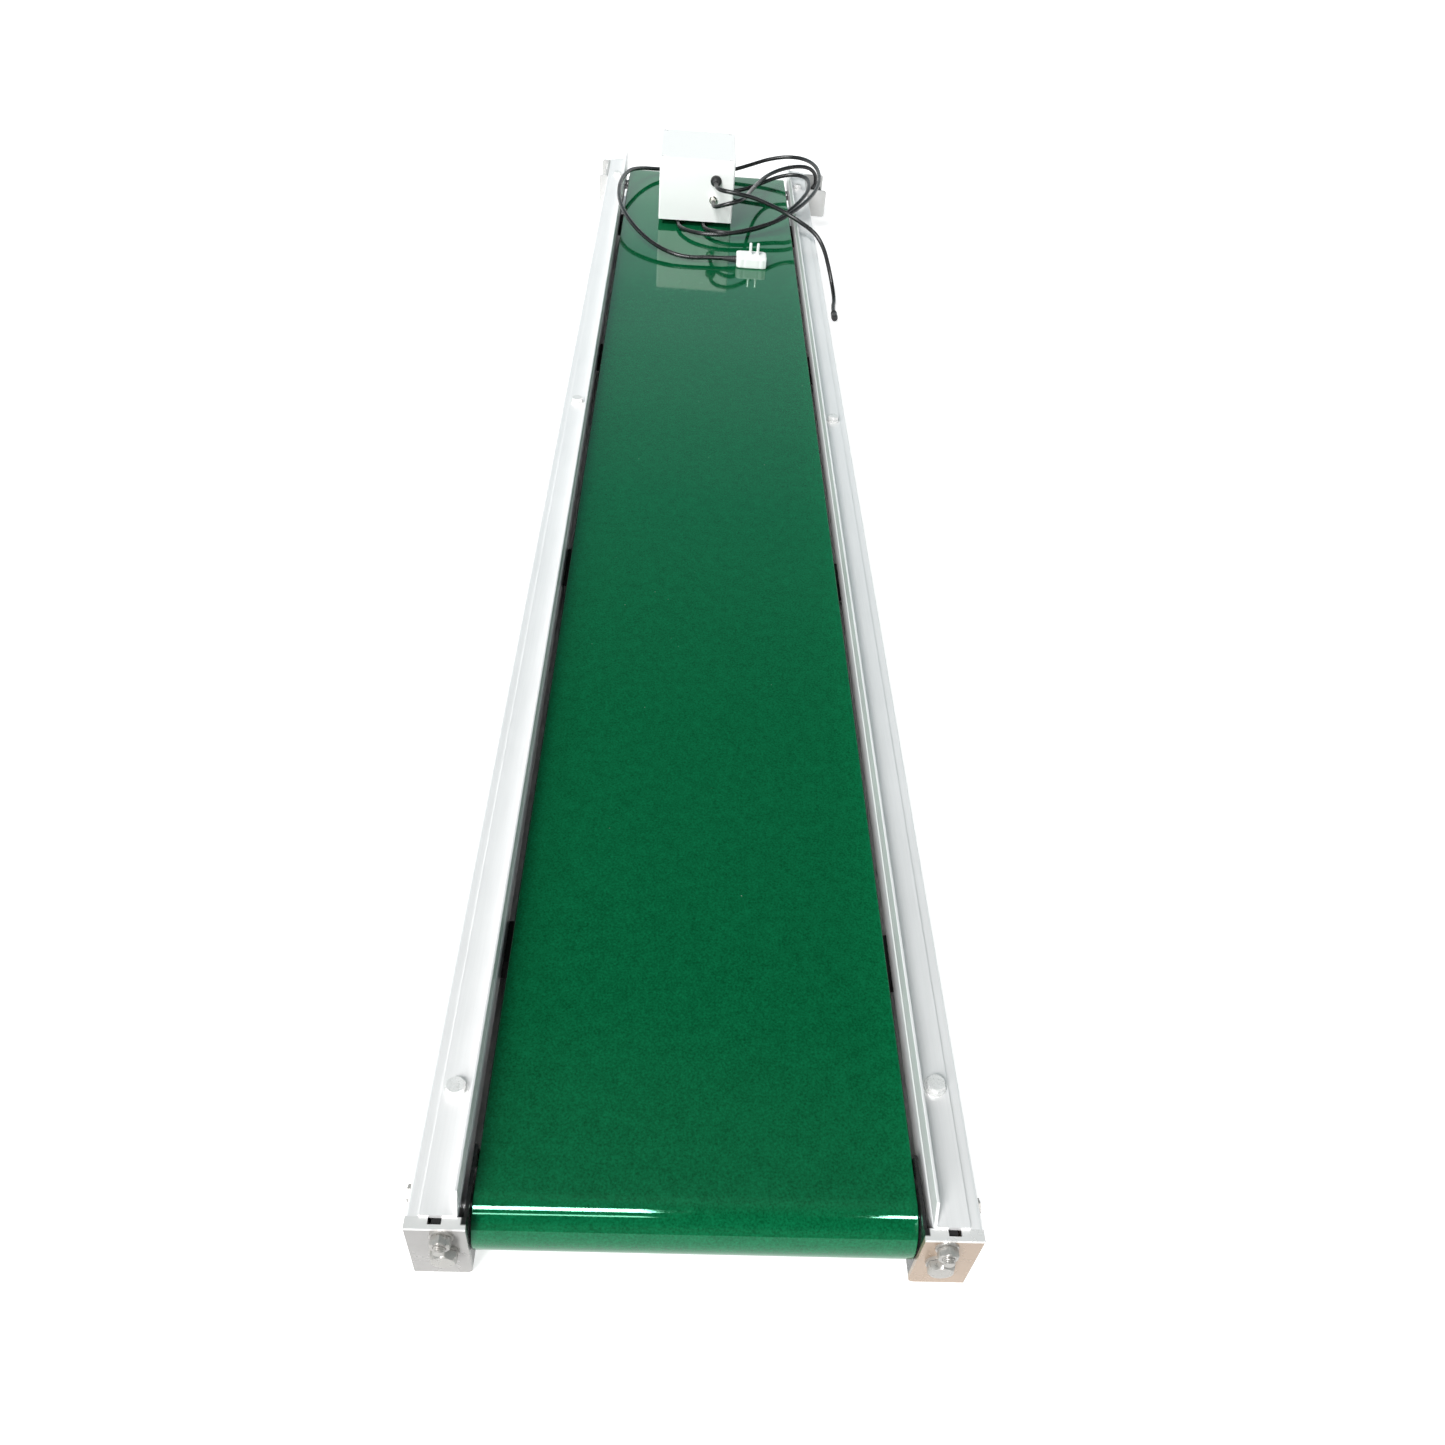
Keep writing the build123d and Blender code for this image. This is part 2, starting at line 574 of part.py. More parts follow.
with BuildPart() as box_plinth:
    with BuildSketch(Plane.XY.offset(belt_top)):
        with Locations((BOX_CENTRE_X, (plinth_front + box_front_y + BOX_DEPTH - 7.0) / 2)):
            Rectangle(BOX_WIDTH - 14.0, BOX_DEPTH - 7.0 - PLINTH_INSET)
    extrude(amount=BOX_LIFT)
save(box_plinth, "box_plinth")

with BuildPart() as control_box_case:
    with BuildSketch(Plane.XY.offset(box_front_z)):
        with Locations((BOX_CENTRE_X, box_mid_y)):
            RectangleRounded(BOX_WIDTH, BOX_DEPTH, 3.0)
    extrude(amount=CASE_HEIGHT)
    with BuildSketch(Plane.XY.offset(box_front_z + BOX_WALL)):
        with Locations((BOX_CENTRE_X, box_mid_y)):
            Rectangle(BOX_WIDTH - 2 * BOX_WALL, BOX_DEPTH - 2 * BOX_WALL)
    extrude(amount=CASE_HEIGHT, mode=Mode.SUBTRACT)
    with BuildSketch(Plane.XY.offset(box_front_z + BOX_WALL)):
        with Locations(*post_places):
            Circle(POST_R)
    extrude(amount=CASE_HEIGHT - BOX_WALL)
    with Locations(*[(x, y, case_top) for x, y in post_places]):
        Cylinder(1.8, 24.0, mode=Mode.SUBTRACT)
    with Locations(along(grommet_x, box_front_y + BOX_WALL / 2, grommet_z)):
        Cylinder(7.0, 2 * BOX_WALL, mode=Mode.SUBTRACT)
    with Locations(along(ring_x, box_front_y + BOX_WALL / 2, ring_z)):
        Cylinder(5.0, 2 * BOX_WALL, mode=Mode.SUBTRACT)
save(control_box_case, "control_box_case")

with BuildPart() as control_box_lid:
    with BuildSketch(Plane.XY.offset(case_top)):
        with Locations((BOX_CENTRE_X, box_mid_y)):
            RectangleRounded(BOX_WIDTH, BOX_DEPTH, 3.0)
    extrude(amount=LID_HEIGHT)
    with BuildSketch(Plane.XY.offset(case_top)):
        with Locations((BOX_CENTRE_X, box_mid_y)):
            Rectangle(BOX_WIDTH - 2 * BOX_WALL, BOX_DEPTH - 2 * BOX_WALL)
    extrude(amount=LID_HEIGHT - BOX_WALL, mode=Mode.SUBTRACT)
    with BuildSketch(Plane.XY.offset(case_top)):
        with Locations(*post_places):
            Circle(POST_R)
    extrude(amount=LID_HEIGHT - BOX_WALL)
    with Locations(*[(x, y, case_top + LID_HEIGHT / 2) for x, y in post_places]):
        Cylinder(2.2, 2 * LID_HEIGHT, mode=Mode.SUBTRACT)
    with Locations(*[(x, y, case_top + LID_HEIGHT) for x, y in post_places]):
        Cylinder(3.9, 6.0, mode=Mode.SUBTRACT)
    chamfer(control_box_lid.faces().sort_by(Axis.Z)[-1].outer_wire().edges(), 0.8)
save(control_box_lid, "control_box_lid")

with BuildPart() as lid_screws:
    for x, y in post_places:
        add_shank((x, y, case_top + LID_HEIGHT - 3.0), (0, 0, 1), 3.6, 2.4)
        add_shank((x, y, case_top + LID_HEIGHT - 3.0), (0, 0, -1), 1.7, 20.0)
save(lid_screws, "lid_screws")

board_z = box_front_z + BOX_WALL + BOARD_GAP
board_width = BOX_WIDTH - 30.0
board_depth = BOX_DEPTH - 40.0
board_places = [
    (BOX_CENTRE_X + dx * (board_width / 2 - 5.0), box_mid_y + dy * (board_depth / 2 - 7.5))
    for dx in (-1, 1) for dy in (-1, 1)
]

with BuildPart() as board_standoffs:
    for x, y in board_places:
        add_shank((x, y, box_front_z + BOX_WALL), (0, 0, 1), 3.0, BOARD_GAP)
save(board_standoffs, "board_standoffs")

with BuildPart() as circuit_board:
    with Locations((BOX_CENTRE_X, box_mid_y, board_z + 0.8)):
        Box(board_width, board_depth, 1.6)
save(circuit_board, "circuit_board")

with BuildPart() as power_module:
    with Locations((BOX_CENTRE_X - 10.0, box_mid_y + 15.0, board_z + 1.6 + 17.0)):
        Box(60.0, 60.0, 34.0)
save(power_module, "power_module")

with BuildPart() as large_grommet:
    add_shank((grommet_x, box_front_y, grommet_z), (0, -1, 0), 9.5, 4.0)
    add_shank((grommet_x, box_front_y, grommet_z), (0, 1, 0), 6.95, BOX_WALL)
    add_shank((grommet_x, box_front_y + BOX_WALL, grommet_z), (0, 1, 0), 8.5, 2.0)
    with BuildSketch(Plane(origin=(grommet_x, box_front_y - 4.0, grommet_z), z_dir=(0, -1, 0))):
        Circle(6.0)
    extrude(amount=8.0, taper=13.0)
save(large_grommet, "large_grommet")

with BuildPart() as ring_gland:
    add_shank((ring_x, box_front_y, ring_z), (0, -1, 0), 7.0, 3.0)
    add_shank((ring_x, box_front_y, ring_z), (0, 1, 0), 4.95, BOX_WALL)
    add_shank((ring_x, box_front_y + BOX_WALL, ring_z), (0, 1, 0), 6.5, 2.0)
    with BuildSketch(Plane(origin=(ring_x, box_front_y - 3.0, ring_z), z_dir=(0, -1, 0))):
        Circle(5.2)
    extrude(amount=9.0, taper=9.0)
save(ring_gland, "ring_gland")

RELIEF_LENGTH = 20.0
relief_tip_y = plinth_front - RELIEF_LENGTH
MAINS_X = BOX_CENTRE_X - 30.0
SPARE_X = BOX_CENTRE_X + 14.0
LEAD_Z = belt_top + 5.0

with BuildPart() as strain_reliefs:
    for x in (MAINS_X, SPARE_X):
        with BuildSketch(Plane(origin=(x, plinth_front, LEAD_Z), z_dir=(0, -1, 0))):
            Circle(4.7)
        extrude(amount=RELIEF_LENGTH, taper=2.8)
save(strain_reliefs, "strain_reliefs")


# ---------------------------------------------------------------- plug and connectors
PLUG_X = 49.0
PLUG_LENGTH = 51.0
PLUG_WIDTH = 35.0
PLUG_HEIGHT = 18.0
PLUG_MID_Y = box_front_y - 154.5
PIN_X = (72.0, 84.5)
plug_mid_z = belt_top + PLUG_HEIGHT / 2

with BuildPart() as plug_body:
    with BuildSketch(Plane.XY.offset(belt_top)):
        with Locations((PLUG_X + PLUG_LENGTH / 2, PLUG_MID_Y)):
            RectangleRounded(PLUG_LENGTH, PLUG_WIDTH, 5.0)
    extrude(amount=PLUG_HEIGHT)
    fillet(plug_body.faces().sort_by(Axis.Z)[-1].edges(), 3.0)
save(plug_body, "plug_body")

with BuildPart() as plug_pins:
    for x in PIN_X:
        add_shank((x, PLUG_MID_Y, belt_top + PLUG_HEIGHT), (0, 0, 1), 2.5, 19.0)
    chamfer(plug_pins.faces().sort_by(Axis.Z)[-2:].edges(), 0.8)
save(plug_pins, "plug_pins")

with BuildPart() as plug_strain_relief:
    with BuildSketch(Plane(origin=(PLUG_X, PLUG_MID_Y - 1.5, plug_mid_z), z_dir=(-1, 0, 0))):
        Circle(6.0)
    extrude(amount=22.0, taper=5.5)
save(plug_strain_relief, "plug_strain_relief")

with BuildPart() as sensor_connector:
    add_shank((rail_out + 30.0, 540.0, 5.7), (0, -1, 0), 5.5, 24.0)
    chamfer(sensor_connector.edges().group_by(Axis.Y)[0], 1.0)
save(sensor_connector, "sensor_connector")

with BuildPart() as spare_connector:
    add_shank((-60.0, 910.0, belt_top + 5.7), (-1, 0, 0), 5.5, 24.0)
    chamfer(spare_connector.edges().group_by(Axis.X)[0], 1.0)
save(spare_connector, "spare_connector")


# ---------------------------------------------------------------- cords
def lay_cord(name, points):
    """Sweep a round cord along straight runs joined by tangent arcs, and print its sizes."""
    points = [Vector(*p) for p in points]
    runs = [(b - a).length for a, b in zip(points, points[1:])]
    radii = []
    for a, b, c, before, after in zip(points, points[1:], points[2:], runs, runs[1:]):
        turn = math.radians((b - a).get_angle(c - b))
        radii.append(0.45 * min(before, after) / math.tan(turn / 2))
    with BuildPart() as cord:
        with BuildLine() as route:
            FilletPolyline(*points, radius=radii)
        with BuildSketch(Plane(origin=route.line @ 0, z_dir=route.line % 0)):
            Circle(CORD_DIA / 2)
        sweep()
    length = route.wire().length
    expected = math.pi * (CORD_DIA / 2) ** 2 * length
    print(f"{name}: length {length:.0f}, least radius {min(radii):.0f}, volume ratio "
          f"{cord.part.volume / expected:.4f}, radii {[round(r) for r in radii]}")
    save(cord, name)


# from the plinth, round the right-hand loop, behind the box, round the left and to the plug
mains_lead_points = [
    (-52, 742, 69), (-52, 721, 69), (-45, 700, 70.5), (-28, 680, 73), (-4, 667, 75), (24, 664, 77),
    (57, 676, 80), (92, 694, 84), (124, 712, 90), (155, 745, 98), (181, 791, 102), (201, 848, 104),
    (210, 909, 105), (207, 969, 105), (189, 1013, 103), (158, 1034, 99), (120, 1034, 92),
    (86, 1020, 84), (52, 1004, 77), (16, 998, 72), (-24, 999, 70), (-64, 992, 72), (-101, 976, 77),
    (-128, 948, 86), (-147, 906, 95), (-159, 849, 98), (-161, 785, 98), (-154, 724, 96),
    (-138, 673, 91), (-115, 630, 84), (-88, 596, 78), (-57, 573, 74), (-28, 567, 72), (2, 572, 73),
    (27, 572, 73),
]
lay_cord("mains_lead", mains_lead_points)

# from the plinth, round inside the mains lead and back behind the box
spare_lead_points = [
    (-8, 742, 69), (-8, 722, 69), (-1, 702, 70.5), (17, 687, 73), (41, 682, 74), (68, 691, 76),
    (96, 709, 78), (123, 731, 83), (148, 760, 93), (169, 799, 98), (185, 846, 100), (189, 890, 101),
    (182, 918, 101), (160, 935, 98), (131, 933, 92), (104, 920, 84), (78, 906, 77), (49, 898, 72),
    (20, 900, 69.8), (-10, 907, 69.7), (-38, 910, 69.7), (-60, 910, 69.7),
]
lay_cord("spare_lead", spare_lead_points)

# from the large grommet, over the right rail and down to the floor
sensor_lead_points = [
    (11, 716, 144), (11, 699, 144), (18, 682, 145), (35, 672, 146), (55, 673, 143), (76, 683, 136),
    (98, 695, 125), (121, 702, 114), (143, 700, 105), (161, 688, 99), (177, 672, 95), (192, 657, 87),
    (205, 648, 68), (214, 641, 45), (221, 630, 25), (225, 610, 11), (225, 585, 6.2), (221, 561, 5.7),
    (221, 540, 5.7),
]
lay_cord("sensor_lead", sensor_lead_points)

# from the ring gland, over the coil to the terminal box on the right drive bracket
motor_lead_points = [
    (8, 716, 112), (8, 699, 112), (14, 682, 117), (30, 674, 125), (48, 678, 129), (60, 695, 129),
    (66, 723, 124), (70, 759, 116), (76, 801, 107), (85, 848, 99), (97, 894, 95), (114, 935, 94),
    (138, 964, 96), (166, 978, 99), (190, 987, 97), (205, 995, 88), (212, 1000, 76), (212, 1000, 62),
]
lay_cord("motor_lead", motor_lead_points)
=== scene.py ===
# %% [markdown]
# # A belt conveyor section
# The imported model is the fixed frame: every steel part already lies where it belongs. This lesson gives
# each part its finish, and remakes the pieces whose look depends on fine shape: the belt, the folded
# guards, the fasteners, the plug and the cords. All sizes are in metres.

# %% Load the frame
import bpy
import json
import numpy as np
from mathutils import Matrix


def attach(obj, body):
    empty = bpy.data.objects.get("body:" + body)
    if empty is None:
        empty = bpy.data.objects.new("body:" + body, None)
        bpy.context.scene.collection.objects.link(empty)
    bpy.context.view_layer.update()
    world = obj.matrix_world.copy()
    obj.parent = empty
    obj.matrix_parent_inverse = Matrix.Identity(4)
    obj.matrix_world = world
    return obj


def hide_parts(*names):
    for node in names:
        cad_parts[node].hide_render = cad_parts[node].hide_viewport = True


MM = 0.001
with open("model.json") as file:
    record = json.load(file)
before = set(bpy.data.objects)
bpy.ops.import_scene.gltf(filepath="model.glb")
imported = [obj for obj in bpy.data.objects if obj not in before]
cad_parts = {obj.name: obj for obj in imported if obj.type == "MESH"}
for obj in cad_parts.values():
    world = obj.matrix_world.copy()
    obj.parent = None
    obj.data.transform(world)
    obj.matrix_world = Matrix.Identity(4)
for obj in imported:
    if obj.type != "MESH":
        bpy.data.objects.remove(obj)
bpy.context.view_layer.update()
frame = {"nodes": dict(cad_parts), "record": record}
scene = bpy.context.scene
scene.view_settings.view_transform = "Standard"

# %% [markdown]
# ## Camera
# A camera close above the tail end, tipped well down, makes the rails run together towards the far end.
# The place, the three turns and the lens are set once here, and the rotation matrix is built from its
# own right, up and forward directions, so no aiming constraint is needed.

# %% Camera
CAMERA_PLACE = (-0.0394, -1.3546, 0.8268)
CAMERA_DOWN = np.radians(43.391)
CAMERA_TURN = np.radians(4.197)
CAMERA_ROLL = np.radians(5.570)
LENS_MM = 28.47


def camera_axes(down, turn, roll):
    """Right, up and forward: forward is turned from +Y and tipped down, then the frame rolls about it."""
    forward = np.array([np.sin(turn) * np.cos(down), np.cos(turn) * np.cos(down), -np.sin(down)])
    level = np.array([np.cos(turn), -np.sin(turn), 0.0])
    rise = np.cross(level, forward)
    right = np.cos(roll) * level + np.sin(roll) * rise
    up = np.cos(roll) * rise - np.sin(roll) * level
    return right, up, forward


right, up, forward = camera_axes(CAMERA_DOWN, CAMERA_TURN, CAMERA_ROLL)
camera_data = bpy.data.cameras.new("camera")
camera_data.lens = LENS_MM
camera_data.sensor_width = 36.0
camera_data.clip_start = 0.02
camera = bpy.data.objects.new("camera", camera_data)
pose = np.eye(4)
pose[:3, :3] = np.column_stack([right, up, -forward])
pose[:3, 3] = CAMERA_PLACE
camera.matrix_world = Matrix(pose.tolist())
scene.collection.objects.link(camera)
scene.camera = camera
print("camera looks along", np.round(forward, 3))

# %% [markdown]
# ## Floor, sky and lights
# A glossy belt is mostly a mirror of its surroundings, so the surroundings are designed first: a dark
# zone high in front keeps the near belt a deep green, a pale zone near the horizon lays a milky sheen
# on its far end, and long softboxes above the tail make the bright bands on the tail roller.

# %% Floor
FLOOR_HALF = 30.0
FLOOR_DROP = 0.5 * MM
FLOOR_GLOW = 0.78


def sheet_mesh(name, corners):
    """One flat four-sided face."""
    mesh = bpy.data.meshes.new(name)
    mesh.from_pydata([tuple(c) for c in corners], [], [(0, 1, 2, 3)])
    piece = bpy.data.objects.new(name, mesh)
    scene.collection.objects.link(piece)
    return piece


floor = sheet_mesh("floor", [(-FLOOR_HALF, -FLOOR_HALF, 0), (FLOOR_HALF, -FLOOR_HALF, 0),
                             (FLOOR_HALF, FLOOR_HALF, 0), (-FLOOR_HALF, FLOOR_HALF, 0)])
floor.location.z = -FLOOR_DROP

floor_paint = bpy.data.materials.new("floor_paint")
floor_paint.use_nodes = True
paint = floor_paint.node_tree.nodes["Principled BSDF"]
paint.inputs["Base Color"].default_value = (0.5, 0.5, 0.5, 1)
paint.inputs["Roughness"].default_value = 0.9
paint.inputs["Specular IOR Level"].default_value = 0.1
paint.inputs["Emission Color"].default_value = (1, 1, 1, 1)
paint.inputs["Emission Strength"].default_value = FLOOR_GLOW
floor.data.materials.append(floor_paint)

# %% Sky
SKY_BANDS = ((0.50, (0.96, 0.97, 0.97)), (0.655, (0.92, 1.00, 1.00)), (0.690, (0.40, 0.55, 0.58)),
             (0.77, (0.15, 0.27, 0.30)), (0.84, (0.05, 0.10, 0.10)), (0.92, (0.03, 0.04, 0.04)),
             (1.00, (0.30, 0.34, 0.32)))
SKY_STRENGTH = 1.0
FRONT_SHARE = 0.25
FRONT_Y, BACK_Y = -0.6, 0.15

sky = bpy.data.worlds.new("sky")
sky.use_nodes = True
sky_nodes, sky_links = sky.node_tree.nodes, sky.node_tree.links
sky_way = sky_nodes.new("ShaderNodeTexCoord")
sky_split = sky_nodes.new("ShaderNodeSeparateXYZ")
sky_shift = sky_nodes.new("ShaderNodeMath")
sky_shift.operation = "MULTIPLY_ADD"
sky_shift.inputs[1].default_value = 0.5
sky_shift.inputs[2].default_value = 0.5
sky_ramp = sky_nodes.new("ShaderNodeValToRGB")
while len(sky_ramp.color_ramp.elements) < len(SKY_BANDS):
    sky_ramp.color_ramp.elements.new(0.5)
for element, (place, colour) in zip(sky_ramp.color_ramp.elements, SKY_BANDS):
    element.position = place
    element.color = (*colour, 1)
sky_links.new(sky_way.outputs["Generated"], sky_split.inputs[0])
sky_links.new(sky_split.outputs["Z"], sky_shift.inputs[0])
sky_links.new(sky_shift.outputs[0], sky_ramp.inputs[0])
sky_front = sky_nodes.new("ShaderNodeMapRange")
sky_front.interpolation_type = "SMOOTHSTEP"
sky_front.inputs["From Min"].default_value = FRONT_Y
sky_front.inputs["From Max"].default_value = BACK_Y
sky_front.inputs["To Min"].default_value = FRONT_SHARE
sky_dim = sky_nodes.new("ShaderNodeVectorMath")
sky_dim.operation = "SCALE"
sky_links.new(sky_split.outputs["Y"], sky_front.inputs[0])
sky_links.new(sky_ramp.outputs[0], sky_dim.inputs[0])
sky_links.new(sky_front.outputs[0], sky_dim.inputs["Scale"])
sky_links.new(sky_dim.outputs[0], sky_nodes["Background"].inputs["Color"])
sky_nodes["Background"].inputs["Strength"].default_value = SKY_STRENGTH
scene.world = sky


# %% Lights
def aimed_from(away, helper):
    """Turn matrix whose third axis points along away; the helper direction fixes the roll."""
    away = away / np.linalg.norm(away)
    side = np.cross(helper, away)
    side /= np.linalg.norm(side)
    turn = np.eye(4)
    turn[:3, :3] = np.column_stack([side, np.cross(away, side), away])
    return turn


def softbox(name, place, aim, size, power):
    """A rectangular lamp at a place, facing a point."""
    lamp = bpy.data.lights.new(name, "AREA")
    lamp.shape = "RECTANGLE"
    lamp.size, lamp.size_y = size
    lamp.energy = power
    holder = bpy.data.objects.new(name, lamp)
    turn = aimed_from(np.array(place, float) - np.array(aim, float), [0, 1, 0])
    turn[:3, 3] = place
    holder.matrix_world = Matrix(turn.tolist())
    scene.collection.objects.link(holder)
    return holder


TAIL_END = (0, -1.0, 0)

strips = [softbox("tail_strip_left", (-0.45, -2.3, 2.6), TAIL_END, (0.90, 0.42), 72),
          softbox("tail_strip_low", (-0.45, -2.9, 2.1), TAIL_END, (0.90, 0.16), 7),
          softbox("tail_strip_right", (0.90, -2.3, 2.6), TAIL_END, (0.42, 0.34), 29)]
for strip in strips:
    strip.visible_diffuse = False


def far_light(name, comes_from, strength, spread):
    """A lamp at infinity shining from a direction, softened over a spread in degrees."""
    lamp = bpy.data.lights.new(name, "SUN")
    lamp.energy = strength
    lamp.angle = np.radians(spread)
    holder = bpy.data.objects.new(name, lamp)
    holder.matrix_world = Matrix(aimed_from(np.array(comes_from), [0, 0, 1]).tolist())
    scene.collection.objects.link(holder)


far_light("window_light", (-0.36, -0.52, 0.77), 2.95, 26)
far_light("front_light", (-0.50, -0.78, 0.42), 1.3, 20)

# %% [markdown]
# ## Effects that several finishes share
# A node group is built once and placed in each material with its own numbers. Here they are: a rolled
# grain that runs along a sheet, a fine mottle, and light specks of dust. Each reads Object coordinates,
# which are the same as the frame's, because every piece's place is in its mesh.


# %% Helper that makes a node group
def effect_group(name, inputs, outputs):
    """An empty shader group with float or colour inputs, given as name: default, and named outputs."""
    group = bpy.data.node_groups.new(name, "ShaderNodeTree")
    for socket, value in inputs.items():
        kind = "NodeSocketColor" if isinstance(value, tuple) else "NodeSocketFloat"
        made = group.interface.new_socket(socket, in_out="INPUT", socket_type=kind)
        made.default_value = (*value, 1) if isinstance(value, tuple) else value
    for socket, kind in outputs.items():
        group.interface.new_socket(socket, in_out="OUTPUT", socket_type=kind)
    return group, group.nodes.new("NodeGroupInput"), group.nodes.new("NodeGroupOutput")


def add_node(tree, kind, links=(), **values):
    """A node with its settings (lower case) and input values, wired from (input, output) pairs."""
    node = tree.nodes.new(kind)
    for key, value in values.items():
        if hasattr(node, key):
            setattr(node, key, value)
        else:
            node.inputs[int(key[1:])].default_value = value
    for target, source in links:
        tree.links.new(source, node.inputs[target])
    return node


# %% Rolled grain
COLOUR, FLOAT = "NodeSocketColor", "NodeSocketFloat"

rolled, rolled_in, rolled_out = effect_group(
    "rolled_grain",
    {"Light": (0.8, 0.8, 0.8), "Dark": (0.6, 0.6, 0.6), "Smooth": 0.25, "Coarse": 0.45,
     "Across": 900.0, "Along": 14.0},
    {"Color": COLOUR, "Roughness": FLOAT, "Height": FLOAT})
place = add_node(rolled, "ShaderNodeTexCoord")
stretch = add_node(rolled, "ShaderNodeCombineXYZ", [
    (0, rolled_in.outputs["Across"]), (1, rolled_in.outputs["Along"]), (2, rolled_in.outputs["Across"])])
stretched = add_node(rolled, "ShaderNodeVectorMath", [
    (0, place.outputs["Object"]), (1, stretch.outputs[0])], operation="MULTIPLY")
streaks = add_node(rolled, "ShaderNodeTexNoise", [(0, stretched.outputs[0])], i2=1.0, i3=3.0, i4=0.6)
clouds = add_node(rolled, "ShaderNodeTexNoise", [(0, place.outputs["Object"])], i2=9.0, i3=4.0, i4=0.55)
both = add_node(rolled, "ShaderNodeMath", [
    (0, streaks.outputs[0]), (1, clouds.outputs[0])], operation="ADD")
tone = add_node(rolled, "ShaderNodeMapRange", [(0, both.outputs[0])], i1=0.6, i2=1.4)
tint = add_node(rolled, "ShaderNodeMix", [
    (0, tone.outputs[0]), (6, rolled_in.outputs["Dark"]), (7, rolled_in.outputs["Light"])],
    data_type="RGBA")
rough = add_node(rolled, "ShaderNodeMapRange", [
    (0, both.outputs[0]), (3, rolled_in.outputs["Smooth"]), (4, rolled_in.outputs["Coarse"])],
    i1=0.75, i2=1.25)
rolled.links.new(tint.outputs[2], rolled_out.inputs["Color"])
rolled.links.new(rough.outputs[0], rolled_out.inputs["Roughness"])
rolled.links.new(streaks.outputs[0], rolled_out.inputs["Height"])

# %% Fine mottle with dust
mottle, mottle_in, mottle_out = effect_group(
    "fine_mottle",
    {"Light": (0.02, 0.2, 0.1), "Dark": (0.0, 0.1, 0.05), "Dust": (0.6, 0.7, 0.62), "Grain": 700.0,
     "Patches": 40.0, "Patch Share": 0.3, "Dust Amount": 0.3, "Smooth": 0.06, "Coarse": 0.14},
    {"Color": COLOUR, "Roughness": FLOAT, "Height": FLOAT})
place = add_node(mottle, "ShaderNodeTexCoord")
grain = add_node(mottle, "ShaderNodeTexNoise", [
    (0, place.outputs["Object"]), (2, mottle_in.outputs["Grain"])], i3=3.0, i4=0.65)
patches = add_node(mottle, "ShaderNodeTexNoise", [
    (0, place.outputs["Object"]), (2, mottle_in.outputs["Patches"])], i3=5.0, i4=0.6)
centred = add_node(mottle, "ShaderNodeMath", [(0, patches.outputs[0])], operation="SUBTRACT", i1=0.5)
mixed = add_node(mottle, "ShaderNodeMath", [
    (0, centred.outputs[0]), (1, mottle_in.outputs["Patch Share"]), (2, grain.outputs[0])],
    operation="MULTIPLY_ADD")
tone = add_node(mottle, "ShaderNodeMapRange", [(0, mixed.outputs[0])], i1=0.3, i2=0.7)
tint = add_node(mottle, "ShaderNodeMix", [
    (0, tone.outputs[0]), (6, mottle_in.outputs["Dark"]), (7, mottle_in.outputs["Light"])],
    data_type="RGBA")
specks = add_node(mottle, "ShaderNodeTexVoronoi", [(0, place.outputs["Object"])], i2=70.0)
speck_mask = add_node(mottle, "ShaderNodeMapRange", [(0, specks.outputs[0])], i1=0.055, i2=0.03)
rare = add_node(mottle, "ShaderNodeTexNoise", [(0, place.outputs["Object"])], i2=23.0, i3=2.0)
rare_mask = add_node(mottle, "ShaderNodeMapRange", [(0, rare.outputs[0])], i1=0.62, i2=0.7)
dust = add_node(mottle, "ShaderNodeMath", [
    (0, speck_mask.outputs[0]), (1, rare_mask.outputs[0])], operation="MULTIPLY")
dust_amount = add_node(mottle, "ShaderNodeMath", [
    (0, dust.outputs[0]), (1, mottle_in.outputs["Dust Amount"])], operation="MULTIPLY")
dusty = add_node(mottle, "ShaderNodeMix", [
    (0, dust_amount.outputs[0]), (6, tint.outputs[2]), (7, mottle_in.outputs["Dust"])],
    data_type="RGBA")
rough = add_node(mottle, "ShaderNodeMapRange", [
    (0, patches.outputs[0]), (3, mottle_in.outputs["Smooth"]), (4, mottle_in.outputs["Coarse"])],
    i1=0.35, i2=0.65)
mottle.links.new(dusty.outputs[2], mottle_out.inputs["Color"])
mottle.links.new(rough.outputs[0], mottle_out.inputs["Roughness"])
mottle.links.new(grain.outputs[0], mottle_out.inputs["Height"])
print("effect groups:", [g.name for g in bpy.data.node_groups])

# %% [markdown]
# ## Finishes
# Each finish is one Principled shader that takes its colour, roughness and a little relief from an
# effect group. What is the same all over, such as the metallic share, stays on the shader itself.


# %% Helper that makes a finish
def finish(name, group, values, metallic=0.0, bump=0.0, bump_depth=0.0002, **shader_values):
    """A material: an effect group with its own values drives a Principled shader."""
    material = bpy.data.materials.new(name)
    material.use_nodes = True
    tree = material.node_tree
    shader = tree.nodes["Principled BSDF"]
    shader.inputs["Metallic"].default_value = metallic
    for key, value in shader_values.items():
        shader.inputs[key.replace("_", " ")].default_value = value
    effect = tree.nodes.new("ShaderNodeGroup")
    effect.node_tree = group
    for key, value in values.items():
        effect.inputs[key].default_value = (*value, 1) if isinstance(value, tuple) else value
    tree.links.new(effect.outputs["Color"], shader.inputs["Base Color"])
    tree.links.new(effect.outputs["Roughness"], shader.inputs["Roughness"])
    if bump:
        relief = tree.nodes.new("ShaderNodeBump")
        relief.inputs["Strength"].default_value = bump
        relief.inputs["Distance"].default_value = bump_depth
        tree.links.new(effect.outputs["Height"], relief.inputs["Height"])
        tree.links.new(relief.outputs["Normal"], shader.inputs["Normal"])
    return material


